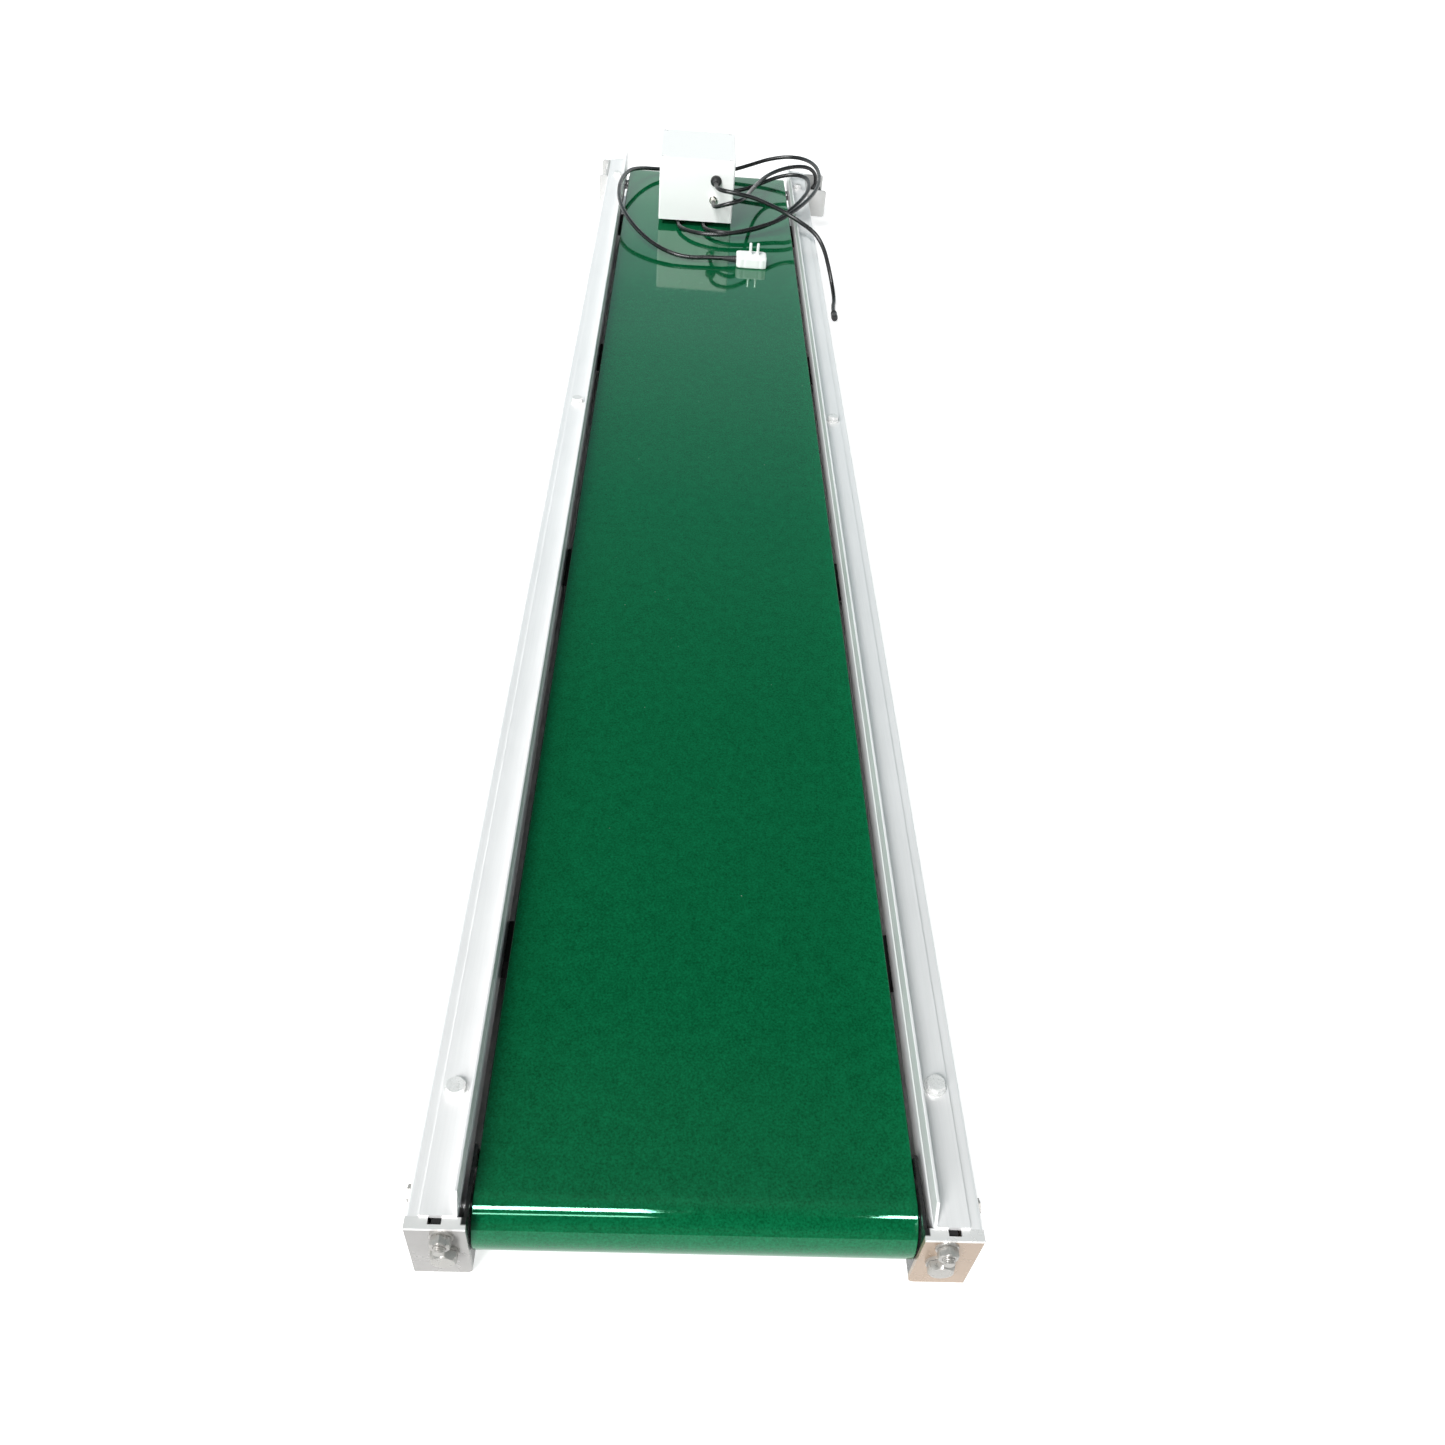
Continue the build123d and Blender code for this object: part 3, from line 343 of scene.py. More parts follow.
# %% Steel finishes
satin_sheet = finish("satin_sheet", rolled, {
    "Light": (0.94, 0.93, 0.93), "Dark": (0.87, 0.86, 0.86), "Smooth": 0.30, "Coarse": 0.40},
    metallic=0.25, bump=0.05)
bracket_sheet = finish("bracket_sheet", rolled, {
    "Light": (0.34, 0.33, 0.32), "Dark": (0.29, 0.28, 0.27), "Smooth": 0.2, "Coarse": 0.3,
    "Across": 60.0, "Along": 60.0}, metallic=0.3)
pale_bracket = finish("pale_bracket", rolled, {
    "Light": (0.60, 0.60, 0.59), "Dark": (0.52, 0.52, 0.51), "Smooth": 0.3, "Coarse": 0.42,
    "Across": 60.0, "Along": 60.0}, metallic=0.25)
zinc_plate = finish("zinc_plate", mottle, {
    "Light": (0.86, 0.86, 0.85), "Dark": (0.66, 0.66, 0.65), "Dust Amount": 0.0, "Grain": 1500.0,
    "Patches": 260.0, "Smooth": 0.24, "Coarse": 0.42}, metallic=0.18)
plain_bolt = finish("plain_bolt", mottle, {
    "Light": (0.43, 0.415, 0.39), "Dark": (0.32, 0.31, 0.295), "Dust Amount": 0.0, "Grain": 1500.0,
    "Patches": 260.0, "Smooth": 0.26, "Coarse": 0.40}, metallic=0.45)
# painted shade: a near-black sheet for parts that lie in shadow under and beside the belt
shadow_black_sheet = finish("shadow_black_sheet", rolled, {
    "Light": (0.028, 0.028, 0.028), "Dark": (0.015, 0.015, 0.015), "Smooth": 0.5, "Coarse": 0.7},
    Specular_IOR_Level=0.1)
turned_steel = finish("turned_steel", mottle, {
    "Light": (0.66, 0.66, 0.66), "Dark": (0.46, 0.46, 0.47), "Dust Amount": 0.0, "Grain": 900.0,
    "Smooth": 0.2, "Coarse": 0.36}, metallic=1.0)
nickel = finish("nickel", mottle, {
    "Light": (0.78, 0.75, 0.70), "Dark": (0.62, 0.59, 0.55), "Dust Amount": 0.0, "Grain": 800.0,
    "Smooth": 0.12, "Coarse": 0.22}, metallic=1.0)
pin_plate = finish("pin_plate", mottle, {
    "Light": (0.95, 0.95, 0.94), "Dark": (0.85, 0.85, 0.84), "Dust Amount": 0.0, "Grain": 1500.0,
    "Smooth": 0.14, "Coarse": 0.24}, metallic=0.3)

# %% Plastic and rubber finishes
belt_pvc = finish("belt_pvc", mottle, {
    "Light": (0.003, 0.138, 0.050), "Dark": (0.001, 0.064, 0.020), "Dust": (0.55, 0.66, 0.56),
    "Dust Amount": 0.6, "Grain": 620.0, "Patches": 90.0, "Smooth": 0.03, "Coarse": 0.065},
    bump=0.05, bump_depth=0.0001, IOR=1.65, Specular_Tint=(0.35, 1.0, 0.70, 1))
box_white = finish("box_white", mottle, {
    "Light": (0.97, 0.965, 0.955), "Dark": (0.93, 0.925, 0.915), "Dust Amount": 0.0, "Grain": 1400.0,
    "Smooth": 0.3, "Coarse": 0.42}, bump=0.08)
moulded_black = finish("moulded_black", mottle, {
    "Light": (0.035, 0.035, 0.036), "Dark": (0.018, 0.018, 0.019), "Dust": (0.2, 0.2, 0.2),
    "Dust Amount": 0.2, "Grain": 2200.0, "Smooth": 0.34, "Coarse": 0.5}, bump=0.2)
cord_sheath = finish("cord_sheath", mottle, {
    "Light": (0.020, 0.020, 0.021), "Dark": (0.010, 0.010, 0.011), "Dust": (0.3, 0.3, 0.3),
    "Dust Amount": 0.2, "Grain": 1600.0, "Smooth": 0.22, "Coarse": 0.36}, bump=0.15)
board_green = finish("board_green", mottle, {
    "Light": (0.03, 0.22, 0.10), "Dark": (0.02, 0.14, 0.06), "Dust Amount": 0.0})

# %% Give every frame node its finish
SLOT_FINISH = {
    "rail_steel": satin_sheet, "bracket_steel": bracket_sheet, "fastener_zinc": zinc_plate,
    "belt_pvc": belt_pvc, "drum_steel": turned_steel, "box_white": box_white,
    "black_plastic": moulded_black, "nickel": nickel, "board_green": board_green,
    "cord_black": cord_sheath,
}
for subpart in frame["record"]["subparts"]:
    node = frame["nodes"][subpart["node"]]
    for material_slot in node.material_slots:
        material_slot.material = SLOT_FINISH[subpart["material_slot"]]
# painted shade: the slider bed, cross members and anchor blocks sit in shadow, so they get the near-black
# sheet
for name in ("slider_bed", "cross_members", "anchor_blocks"):
    frame["nodes"][name].material_slots[0].material = shadow_black_sheet
for name in ("drive_bracket_left", "drive_bracket_right"):
    frame["nodes"][name].material_slots[0].material = pale_bracket
for name in ("tongue_bolts", "tongue_nuts", "tension_washers", "anchor_washers"):
    frame["nodes"][name].material_slots[0].material = plain_bolt

# %% [markdown]
# The end brackets are one sheet each. The flange that stands a millimetre from the belt never sees light,
# so painted shade makes it near black. The narrow flange on top gets a painted highlight, and the right
# bracket a painted brown reflection. Their finish is the bracket's, with its colour changed by place.

# %% Painted shade, highlight and brown reflection on the end brackets
INNER_FLANGE_X = 0.1545
PLATE_BACK_Y = -1.0410
TOP_FLANGE_Z = 0.0674
BLEND = 0.0005

painted_light_bracket = bracket_sheet.copy()
painted_light_bracket.name = "painted_light_bracket"
tree = painted_light_bracket.node_tree
place = add_node(tree, "ShaderNodeTexCoord")
apart = add_node(tree, "ShaderNodeSeparateXYZ", [(0, place.outputs["Object"])])
from_middle = add_node(tree, "ShaderNodeMath", [(0, apart.outputs[0])], operation="ABSOLUTE")
inner = add_node(tree, "ShaderNodeMapRange", [(0, from_middle.outputs[0])], i1=INNER_FLANGE_X + BLEND,
                 i2=INNER_FLANGE_X - BLEND)
behind = add_node(tree, "ShaderNodeMapRange", [(0, apart.outputs[1])], i1=PLATE_BACK_Y - BLEND,
                  i2=PLATE_BACK_Y + BLEND)
# painted shade: this mask picks out the inner flange behind the plate, where shadow falls
flange_shade_mask = add_node(tree, "ShaderNodeMath", [(0, inner.outputs[0]), (1, behind.outputs[0])],
                operation="MULTIPLY")
grain_out = [n for n in tree.nodes if n.type == "GROUP"][0].outputs["Color"]
# painted brown reflection: the right bracket (x above 0) is mixed towards brown
on_right = add_node(tree, "ShaderNodeMath", [(0, apart.outputs[0])], operation="GREATER_THAN", i1=0.0)
brown_reflection = add_node(tree, "ShaderNodeMix", [(0, on_right.outputs[0]), (6, grain_out)],
                   data_type="RGBA", i7=(0.36, 0.27, 0.20, 1))
# painted highlight: the top flange is mixed towards light grey because it catches the light
on_top = add_node(tree, "ShaderNodeMapRange", [(0, apart.outputs[2])], i1=TOP_FLANGE_Z - 0.4 * BLEND,
                  i2=TOP_FLANGE_Z + 0.4 * BLEND)
top_highlight = add_node(tree, "ShaderNodeMix", [(0, on_top.outputs[0]), (6, brown_reflection.outputs[2])],
                   data_type="RGBA", i7=(0.86, 0.85, 0.84, 1))
# painted shade: the inner flange is mixed to near black
shaded_flange = add_node(tree, "ShaderNodeMix", [(0, flange_shade_mask.outputs[0]), (6, top_highlight.outputs[2])],
                  data_type="RGBA", i7=(0.02, 0.02, 0.02, 1))
tree.links.new(shaded_flange.outputs[2], tree.nodes["Principled BSDF"].inputs["Base Color"])
for side in ("left", "right"):
    frame["nodes"]["end_bracket_" + side].material_slots[0].material = painted_light_bracket

# %% [markdown]
# ## Turned, hexagonal and folded pieces
# Almost every small part is a profile swept round an axis, so one function does them all: rows of the
# grid follow the profile, columns go round. A hexagon is the same surface with its radius limited by
# six flats, and where the cone of the chamfer is the smaller limit, the corners round off by themselves.

# %% Grid helpers
TURN = 2 * np.pi


def signed_volume(points, faces):
    """Sum of the volumes from the origin to each face's fan of triangles: above 0 if faces look out."""
    total = 0.0
    for part in faces:
        corner = points[part]
        for k in range(1, part.shape[1] - 1):
            total += (corner[:, 0] * np.cross(corner[:, k], corner[:, k + 1])).sum() / 6
    return total


def make_piece(name, points, faces, finish_material, sharp_degrees=32.0):
    """One mesh from an array of points and a list of face arrays, shaded smooth between sharp edges."""
    points = points.reshape(-1, 3)
    if signed_volume(points, faces) < 0:
        faces = [part[:, ::-1] for part in faces]
    mesh = bpy.data.meshes.new(name)
    mesh.from_pydata(points.tolist(), [], [f for part in faces for f in part.tolist()])
    mesh.polygons.foreach_set("use_smooth", np.ones(len(mesh.polygons), bool))
    mesh.set_sharp_from_angle(angle=np.radians(sharp_degrees))
    mesh.materials.append(finish_material)
    piece = bpy.data.objects.new(name, mesh)
    scene.collection.objects.link(piece)
    return piece


def grid_faces(rows, columns, wrap_rows=False):
    """Quads of a rows by columns grid whose columns close on themselves."""
    a, b = np.meshgrid(np.arange(rows if wrap_rows else rows - 1), np.arange(columns), indexing="ij")
    a, b = a.ravel(), b.ravel()
    a2, b2 = (a + 1) % rows, (b + 1) % columns
    return np.column_stack([a * columns + b, a * columns + b2, a2 * columns + b2, a2 * columns + b])


def axis_frame(out):
    """Two directions at right angles to an axis, so that side x rise = out."""
    out = np.array(out, float)
    side = np.cross([0, 0, 1], out) if abs(out[2]) < 0.9 else np.array([1.0, 0, 0])
    side /= np.linalg.norm(side)
    return side, np.cross(out, side), out


def turned(name, seats, out, profile, finish_material, sides=32, flats=None, pitch=0.0, depth=0.0,
           thread=(0, 0), ring=False):
    """Copies of one profile turned round an axis: point = seat + radius(angle, height) around + height out.

    The profile is rows of (radius, height) in millimetres, from the seat outwards. With flats, the
    radius is the smaller of the profile's and half the width across flats over the cosine of the angle
    from the nearest flat. Between the two thread heights a triangular wave of the given depth, moved on
    by a full pitch every turn, cuts the thread. A ring's profile closes on itself.
    """
    profile = np.array(profile, float)
    if not ring:
        profile = np.vstack([[0.0, profile[0, 1]], profile, [0.0, profile[-1, 1]]])
    angle = np.arange(sides) * TURN / sides
    radius = np.repeat(profile[:, :1], sides, axis=1)
    height = np.repeat(profile[:, 1:], sides, axis=1)
    if flats:
        off_flat = (angle + TURN / 12) % (TURN / 6) - TURN / 12
        radius = np.minimum(radius, flats / 2 / np.cos(off_flat))
    if pitch:
        wave = np.abs((height / pitch - angle / TURN) % 1.0 - 0.5) * 2
        cut = (height > thread[0]) & (height < thread[1]) & (radius > 0)
        radius = radius - cut * depth * wave
    side, rise, out = axis_frame(out)
    round_way = np.cos(angle)[:, None] * side + np.sin(angle)[:, None] * rise
    grid = radius[..., None] * round_way + height[..., None] * out
    rows = len(profile)
    if ring:
        points, faces = grid.reshape(-1, 3), [grid_faces(rows, sides, True)]
    else:
        points = np.vstack([grid[1:-1].reshape(-1, 3), grid[0, :1], grid[-1, :1]])
        here = np.arange(sides)
        there = (here + 1) % sides
        last = (rows - 3) * sides
        low, high = len(points) - 2, len(points) - 1
        faces = [grid_faces(rows - 2, sides),
                 np.column_stack([there, here, np.full(sides, low)]),
                 np.column_stack([last + here, last + there, np.full(sides, high)])]
    seats = np.array(seats, float).reshape(-1, 1, 3)
    copies = (seats + points[None]) * MM
    faces = [(part[None] + (np.arange(len(seats)) * len(points))[:, None, None]).reshape(-1, part.shape[1])
             for part in faces]
    return make_piece(name, copies, faces, finish_material)


def place_piece(piece, body, slot_name, *stands_for):
    """A piece rides on its body and stands for frame nodes; its slot name is not used."""
    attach(piece, body)
    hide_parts(*stands_for)
    print(piece.name, "faces", len(piece.data.polygons))
    return piece


# %% [markdown]
# ### Fasteners
# Hexagon heads are forged, then chamfered at 30 degrees on the top; washers are punched, so their edges
# are slightly rounded. The rolled threads of the studs show as fine ridges.

# %% Fastener profiles
GUARD_HOLES = [(-172, -947), (-172, 52), (-172, 940), (172, -934), (172, 45), (172, 940)]
GUARD_TOP = 72.0
WASHER_THICK = 1.6
TENSION_X = 167
AXIS_Z = 36.7
STUD_Z = 60.2
PLATE_Y = -1044.0
M8_FLATS, M8_RADIUS, M8_PITCH = 13.0, 4.0, 1.25
M10_FLATS, M10_RADIUS, M10_PITCH = 17.0, 5.0, 1.5


def hex_profile(flats, height, shank, length):
    """Rows for a bolt standing on its seat: the shank below, then the head with its washer face."""
    corner = flats / np.sqrt(3)
    return [(shank - 0.5, -length), (shank, 0.6 - length), (shank, 0.0), (flats * 0.47, 0.0),
            (flats * 0.47, 0.3), (corner * 1.01, 0.3), (corner * 1.01, height - 0.21 * corner),
            (flats * 0.475, height - 0.02), (flats * 0.44, height)]


def ring_profile(outer, inner, height, soft=0.3):
    """Closed rows for a washer with softened edges."""
    return [(inner, 0), (inner, height), (outer - soft, height), (outer - soft * 0.3, height - soft * 0.3),
            (outer, height - soft), (outer, soft * 0.5), (outer - soft * 0.5, 0)]


# %% Guard bolts and washers
guard_seats = [(x, y, GUARD_TOP + WASHER_THICK) for x, y in GUARD_HOLES]
guard_bolts = turned("guard_bolt_heads", guard_seats, (0, 0, 1), hex_profile(M8_FLATS, 5.3, M8_RADIUS, 16.0),
                     zinc_plate, sides=48, flats=M8_FLATS)
place_piece(guard_bolts, "root", "fastener_zinc", "guard_bolts")
guard_rings = turned("guard_bolt_washers", [(x, y, GUARD_TOP) for x, y in GUARD_HOLES], (0, 0, 1),
                     ring_profile(8.5, 4.5, WASHER_THICK)[::-1], zinc_plate, sides=40, ring=True)
place_piece(guard_rings, "root", "fastener_zinc", "guard_washers")

# %% Tension bolts
for side, s in (("left", -1), ("right", 1)):
    seat = (s * TENSION_X, PLATE_Y - 2.0, AXIS_Z)
    rows = hex_profile(M10_FLATS, 6.4, M10_RADIUS, 60.0)
    shank_rows = [(M10_RADIUS, h) for h in np.arange(-59.0, -2.0, 0.3)]
    rows = rows[:1] + shank_rows + rows[2:]
    bolt = turned("tension_bolt_" + side + "_threaded", [seat], (0, -1, 0), rows, plain_bolt, sides=48,
                  flats=M10_FLATS, pitch=M10_PITCH, depth=0.8, thread=(-58.5, -3.0))
    place_piece(bolt, "tension_bolt_" + side, "fastener_zinc", "tension_bolt_" + side)

# %% Anchor studs and nuts
stud_seats = [(s * TENSION_X, PLATE_Y + 14.5, STUD_Z) for s in (-1, 1)]
stud_rows = [(3.4, 0.0)] + [(M8_RADIUS, h) for h in np.arange(0.5, 26.1, 0.25)] + [(3.3, 26.6)]
studs = turned("anchor_stud_threads", stud_seats, (0, -1, 0), stud_rows, plain_bolt, sides=36,
               pitch=M8_PITCH, depth=0.65, thread=(1.0, 26.2))
place_piece(studs, "root", "fastener_zinc", "anchor_studs")
nut_rows = [(4.05, 0.0), (6.1, 0.0), (7.7, 0.9), (7.7, 5.9), (6.2, 6.8), (4.6, 6.8), (4.05, 6.3)]
nut_seats = [(s * TENSION_X, PLATE_Y - 1.6, STUD_Z) for s in (-1, 1)]
anchor_nuts = turned("anchor_nut_rings", nut_seats, (0, -1, 0), nut_rows[::-1], plain_bolt, sides=48,
                     flats=M8_FLATS, ring=True)
place_piece(anchor_nuts, "root", "fastener_zinc", "anchor_nuts")

# %% [markdown]
# ### Leads' ends
# Glands, grommets and strain reliefs are moulded in soft plastic with ribs, so a lead bends over a
# length and not at a corner. Each is a stepped profile turned round the lead.


# %% Ribbed profiles
def ribbed(start, stop, r_start, r_stop, ribs, groove):
    """Rows from start to stop whose radius falls evenly and dips by the groove depth between the ribs."""
    height = np.linspace(start, stop, ribs * 8 + 1)
    share = (height - start) / (stop - start)
    dip = groove * (0.5 - 0.5 * np.cos(share * ribs * TURN)) ** 2
    return [tuple(row) for row in np.column_stack([r_start + (r_stop - r_start) * share - dip, height])]


# %% Grommet, ring gland and reliefs
grommet_rows = ([(6.9, -2.4), (6.9, 0.0), (9.0, 0.0), (9.5, 0.6), (9.5, 2.6), (8.9, 3.6), (7.8, 4.0),
                 (6.4, 4.0)] + ribbed(4.4, 11.6, 6.0, 4.3, 3, 0.5) + [(3.8, 12.0)])
grommet = turned("grommet_moulding", [(11, 728, 144)], (0, -1, 0), grommet_rows, moulded_black, sides=40)
place_piece(grommet, "root", "black_plastic", "large_grommet")
ring_rows = [(4.9, -2.4), (4.9, 0.0), (6.6, 0.0), (7.0, 0.5), (7.0, 2.5), (6.5, 3.0), (5.4, 3.0),
             (5.2, 3.4), (5.0, 5.0), (4.6, 7.5), (4.0, 11.0), (3.7, 11.9)]
gland = turned("ring_gland_body", [(8, 728, 112)], (0, -1, 0), ring_rows, nickel, sides=40)
place_piece(gland, "root", "nickel", "ring_gland")
relief_rows = [(4.2, 0.0)] + ribbed(0.5, 19.5, 4.6, 3.75, 6, 0.45) + [(3.55, 19.9)]
reliefs = turned("plinth_relief_ribs", [(-52, 762, 69), (-8, 762, 69)], (0, -1, 0), relief_rows,
                 moulded_black, sides=32)
place_piece(reliefs, "root", "black_plastic", "strain_reliefs")

# %% Connectors
connector_rows = ([(4.6, 0.0), (5.0, 0.5)] + ribbed(1.0, 10.0, 5.2, 5.3, 4, 0.5) +
                  [(5.5, 10.6), (5.5, 19.0), (4.9, 19.4), (4.9, 22.6), (4.4, 23.8)])
sensor_end = turned("sensor_plug", [(221, 540, 5.7)], (0, -1, 0), connector_rows, moulded_black, sides=36)
place_piece(sensor_end, "root", "black_plastic", "sensor_connector")
spare_end = turned("spare_plug", [(-60, 910, 69.7)], (-1, 0, 0), connector_rows, moulded_black, sides=36)
place_piece(spare_end, "root", "black_plastic", "spare_connector")

# %% [markdown]
# ### Belt
# The belt is a green cover on a pale woven ply. Its section, a thin bar with soft edges, is swept round
# both drums as one closed loop. A wave of a few hundredths of a millimetre, as a tensioned belt really
# has, bends the mirror images on it slightly.

# %% Belt loop
TAIL_Y = -1014.0
DRIVE_Y = 1000.0
WRAP_R = 26.3
BELT_HALF = 150.0
BELT_THICK = 2.0
WAVE_HEIGHT, WAVE_LENGTH, WAVE_SKEW = 0.05, 31.0, 57.0


def belt_path(run_rows=140, wrap_rows=40):
    """Middle line of the loop and its outward direction: straight, half turn, straight, half turn."""
    run = np.linspace(0, 1, run_rows, endpoint=False)
    wrap = np.linspace(0, np.pi, wrap_rows, endpoint=False)
    flat, one = np.zeros_like(run), np.ones_like(run)
    y = np.concatenate([TAIL_Y + run * (DRIVE_Y - TAIL_Y), DRIVE_Y + WRAP_R * np.sin(wrap),
                        DRIVE_Y - run * (DRIVE_Y - TAIL_Y), TAIL_Y - WRAP_R * np.sin(wrap)])
    z = np.concatenate([flat + WRAP_R, WRAP_R * np.cos(wrap), flat - WRAP_R, -WRAP_R * np.cos(wrap)])
    out_y = np.concatenate([flat, np.sin(wrap), flat, -np.sin(wrap)])
    out_z = np.concatenate([one, np.cos(wrap), -one, -np.cos(wrap)])
    return y, z + AXIS_Z, out_y, out_z


def belt_section(columns=30, soft=0.45, crest=0.12, flat_rim=0.3):
    """Closed rows of (across, outward): outer face, right edge, inner face, left edge, corners cut twice."""
    half, thick = BELT_HALF, BELT_THICK / 2
    face = np.linspace(-half + soft + flat_rim, half - soft - flat_rim, columns - 2)
    face = np.concatenate([[soft - half], face, [half - soft]])
    edge = np.array([half - crest, half, half, half - crest])
    edge_out = np.array([thick - crest, thick - soft, soft - thick, crest - thick])
    across = np.concatenate([face, edge, face[::-1], -edge])
    outward = np.concatenate([np.full(columns, thick), edge_out, np.full(columns, -thick), -edge_out])
    return across, outward


def belt_surface():
    """Path point plus (section's outward value + a sine wave on the upper run) times outward direction."""
    path_y, path_z, out_y, out_z = (values[:, None] for values in belt_path())
    across, outward = (values[None] for values in belt_section())
    bend = np.sin(path_y / WAVE_LENGTH + 0.8 * np.sin(across / WAVE_SKEW))
    lift = outward + WAVE_HEIGHT * bend * (out_z > 0.99)
    return np.stack([np.broadcast_to(across, lift.shape), path_y + lift * out_y, path_z + lift * out_z],
                    axis=-1)


belt_points = belt_surface()
belt_faces = grid_faces(*belt_points.shape[:2], wrap_rows=True)
belt = make_piece("belt_loop", belt_points * MM, [belt_faces], belt_pvc, 60)
place_piece(belt, "root", "belt_pvc", "conveyor_belt")

# %% [markdown]
# ### Folded side guards
# A guard is one strip of sheet folded once. Its section has the round outside of the bend and broken
# edges, and near both ends the lip runs down in a slanted corner, so no hand or parcel catches it.


# %% Guard section swept along the rail
GUARD_X = 157.0
GUARD_WIDE = 25.0
GUARD_HALF = 1036.0
RAIL_TOP = 70.0
LIP_TOP = 89.0
CORNER_RUN = 9.0


def guard_section(arc=7):
    """Closed rows of (across from the inner face, height): bend, lip with its soft tip, back, and leg."""
    turn = np.linspace(-np.pi / 2, -np.pi, arc)
    bend = np.column_stack([2.6 + 2.6 * np.cos(turn), RAIL_TOP + 2.6 + 2.6 * np.sin(turn)])
    back = np.linspace(-np.pi, -np.pi / 2, arc)
    inside = np.column_stack([3.2 + 1.2 * np.cos(back), GUARD_TOP + 1.2 + 1.2 * np.sin(back)])
    tip = [(0.0, LIP_TOP - 0.4), (0.4, LIP_TOP), (1.6, LIP_TOP), (2.0, LIP_TOP - 0.4)]
    leg_edge = [(GUARD_WIDE - 0.1, GUARD_TOP), (GUARD_WIDE, GUARD_TOP - 0.1), (GUARD_WIDE, RAIL_TOP + 0.1)]
    return np.vstack([[(GUARD_WIDE - 0.1, RAIL_TOP)], bend, tip, inside, leg_edge])


def side_guard(side, s):
    """Section moved along Y; its height stays under a line that falls to the leg at both ends."""
    near = np.array([0.0, 0.3, 2.2, 4.5, 6.7, 9.0, 14.0])
    y = np.concatenate([near - GUARD_HALF, np.linspace(-1000, 1000, 41), GUARD_HALF - near[::-1]])
    section = guard_section()
    low = GUARD_TOP + 0.15
    ceiling = low + (LIP_TOP - low) * np.clip((GUARD_HALF - np.abs(y)) / CORNER_RUN, 0, 1)
    height = np.minimum(section[None, :, 1], ceiling[:, None])
    x = np.broadcast_to(s * (GUARD_X + section[None, :, 0]), height.shape)
    points = np.stack([x, np.broadcast_to(y[:, None], height.shape), height], axis=-1) * MM
    columns = len(section)
    first = np.arange(columns)[None]
    faces = [grid_faces(len(y), columns), first, (first + (len(y) - 1) * columns)[:, ::-1]]
    guard = make_piece("folded_guard_" + side, points, faces, satin_sheet, 40)
    return place_piece(guard, "root", "rail_steel", "side_guard_" + side)


for side, s in (("left", -1), ("right", 1)):
    side_guard(side, s)

# %% [markdown]
# ### Mains plug
# The plug is a soft-cornered moulding. Its surface is a superellipsoid: a rounded box whose three powers
# set how square it looks from above and from the side. Shallow grip grooves run round its ends.

# %% Plug body
PLUG_CENTRE = np.array([74.5, 573.5, 73.0])
PLUG_HALF = np.array([25.4, 17.4, 8.95])
PIN_SEATS = [(72, 573.5, 82), (84.5, 573.5, 82)]


def signed_power(value, power):
    """A power that keeps the sign, for squared-off circles."""
    return np.sign(value) * np.abs(value) ** power


def soft_box(name, centre, half, finish_material, square=0.22, rows=40, columns=96, grip=0.0):
    """A squared-off ellipsoid: x and y follow a squared circle, and z a squared arch."""
    lift = np.linspace(-0.5, 0.5, rows)[1:-1] * np.pi
    lift = np.sign(lift) * np.abs(lift / (np.pi / 2)) ** 1.6 * (np.pi / 2)
    turn = np.arange(columns) * TURN / columns
    turn = turn - 0.23 * np.sin(4 * turn)
    ring = signed_power(np.cos(lift), square)[:, None]
    x = ring * signed_power(np.cos(turn), square)[None]
    y = ring * signed_power(np.sin(turn), square)[None]
    z = np.repeat(signed_power(np.sin(lift), square)[:, None], columns, axis=1)
    groove = 1 - grip * (np.abs(np.sin(x * 9.0)) > 0.8) * (np.abs(x) > 0.35) * (np.abs(x) < 0.9)
    points = np.stack([x * half[0], y * half[1] * groove, z * half[2]], axis=-1) + centre
    count = (rows - 2) * columns
    poles = centre + np.array([[0, 0, -half[2]], [0, 0, half[2]]])
    here = np.arange(columns)
    there = (here + 1) % columns
    faces = [grid_faces(rows - 2, columns),
             np.column_stack([there, here, np.full(columns, count)]),
             np.column_stack([count - columns + here, count - columns + there,
                              np.full(columns, count + 1)])]
    return make_piece(name, np.vstack([points.reshape(-1, 3), poles]) * MM, faces, finish_material, 50)


plug_case = soft_box("plug_moulding", PLUG_CENTRE, PLUG_HALF, box_white, grip=0.035)
place_piece(plug_case, "root", "box_white", "plug_body")

# %% Plug pins and relief
pin_rows = [(2.45, -2.0), (2.45, 17.6), (2.1, 18.4), (1.4, 18.9), (0.6, 19.0)]
pins = turned("round_pins", PIN_SEATS, (0, 0, 1), pin_rows, pin_plate, sides=28)
place_piece(pins, "root", "nickel", "plug_pins")
plug_rows = [(5.6, -1.0), (6.0, 0.2)] + ribbed(0.8, 21.4, 5.8, 3.95, 6, 0.6) + [(3.6, 21.9)]
plug_relief = turned("plug_relief_ribs", [(49, 572, 73)], (-1, 0, 0), plug_rows, moulded_black, sides=32)
place_piece(plug_relief, "root", "black_plastic", "plug_strain_relief")

# %% [markdown]
# ## Cords
# Each cord is one NURBS curve of order 3 with a round section. Its points are the corners of the route,
# and the curve rounds them off, as a flexible sheath does. The mains lead is the longest: it leaves the
# foot of the box, goes round the right and behind the box, and comes back on the left to its plug.

# %% Cord helper
CORD_DIAMETER = 7 * MM


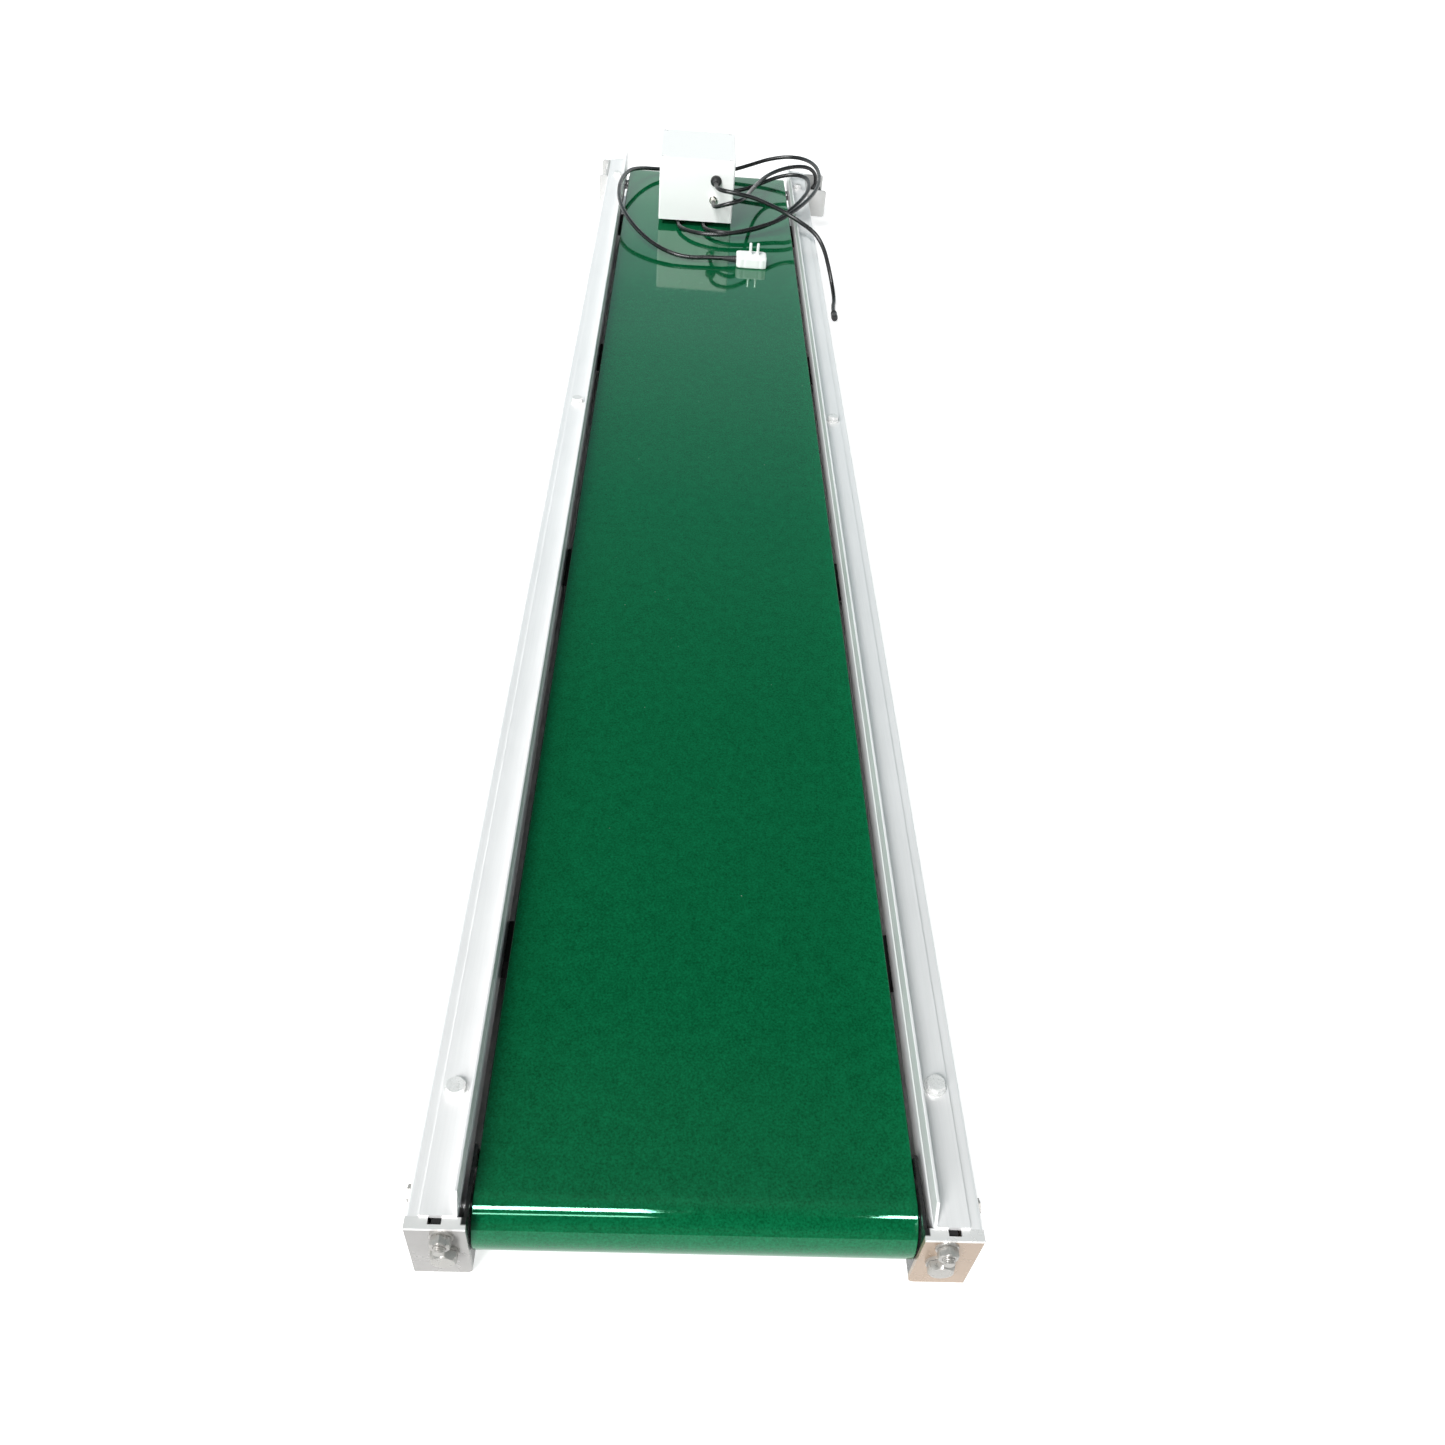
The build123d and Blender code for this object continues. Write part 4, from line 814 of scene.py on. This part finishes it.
def lay_cord(name, points):
    """A round cord along a route given in millimetres, riding on the frame."""
    curve = bpy.data.curves.new(name, "CURVE")
    curve.dimensions = "3D"
    curve.bevel_depth = CORD_DIAMETER / 2
    curve.bevel_resolution = 5
    curve.resolution_u = 10
    curve.use_fill_caps = True
    spline = curve.splines.new("NURBS")
    spline.points.add(len(points) - 1)
    for point, place in zip(spline.points, points):
        point.co = (*(MM * value for value in place), 1.0)
    spline.order_u = 3
    spline.use_endpoint_u = True
    curve.materials.append(cord_sheath)
    cord = bpy.data.objects.new(name + "_sheath", curve)
    scene.collection.objects.link(cord)
    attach(cord, "root")
    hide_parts(name)
    return cord


# %% Mains lead
mains_route = [
    (-52, 742, 69), (-52, 721, 69), (-45, 700, 70.5), (-28, 680, 73), (-4, 667, 75), (24, 664, 77),
    (57, 676, 80), (92, 694, 84), (124, 712, 90), (155, 745, 98), (181, 791, 102), (201, 848, 104),
    (210, 909, 105), (207, 969, 105), (189, 1013, 103), (158, 1034, 99), (120, 1034, 92),
    (86, 1020, 84), (52, 1004, 77), (16, 998, 72), (-24, 999, 70), (-64, 992, 72), (-101, 976, 77),
    (-128, 948, 86), (-147, 906, 95), (-159, 849, 98), (-161, 785, 98), (-154, 724, 96),
    (-138, 673, 91), (-115, 630, 84), (-88, 596, 78), (-57, 573, 74), (-28, 567, 72), (2, 572, 73),
    (27, 572, 73)]
mains_cord = lay_cord("mains_lead", mains_route)

# %% Spare lead
spare_route = [
    (-8, 742, 69), (-8, 722, 69), (-1, 702, 70.5), (17, 687, 73), (41, 682, 74), (68, 691, 76),
    (96, 709, 78), (123, 731, 83), (148, 760, 93), (169, 799, 98), (185, 846, 100), (189, 890, 101),
    (182, 918, 101), (160, 935, 98), (131, 933, 92), (104, 920, 84), (78, 906, 77), (49, 898, 72),
    (20, 900, 69.8), (-10, 907, 69.7), (-38, 910, 69.7), (-60, 910, 69.7)]
spare_cord = lay_cord("spare_lead", spare_route)

# %% Sensor lead
sensor_route = [
    (11, 716, 144), (11, 699, 144), (18, 682, 145), (35, 672, 146), (55, 673, 143), (76, 683, 136),
    (98, 695, 125), (121, 702, 114), (143, 700, 105), (161, 688, 99), (177, 672, 95), (192, 657, 87),
    (205, 648, 68), (214, 641, 45), (221, 630, 25), (225, 610, 11), (225, 585, 6.2), (221, 561, 5.7),
    (221, 540, 5.7)]
sensor_cord = lay_cord("sensor_lead", sensor_route)

# %% Motor lead
motor_route = [
    (8, 716, 112), (8, 699, 112), (14, 682, 117), (30, 674, 125), (48, 678, 129), (60, 695, 129),
    (66, 723, 124), (70, 759, 116), (76, 801, 107), (85, 848, 99), (97, 894, 95), (114, 935, 94),
    (138, 964, 96), (166, 978, 99), (190, 987, 97), (205, 995, 88), (212, 1000, 76), (212, 1000, 62)]
motor_cord = lay_cord("motor_lead", motor_route)
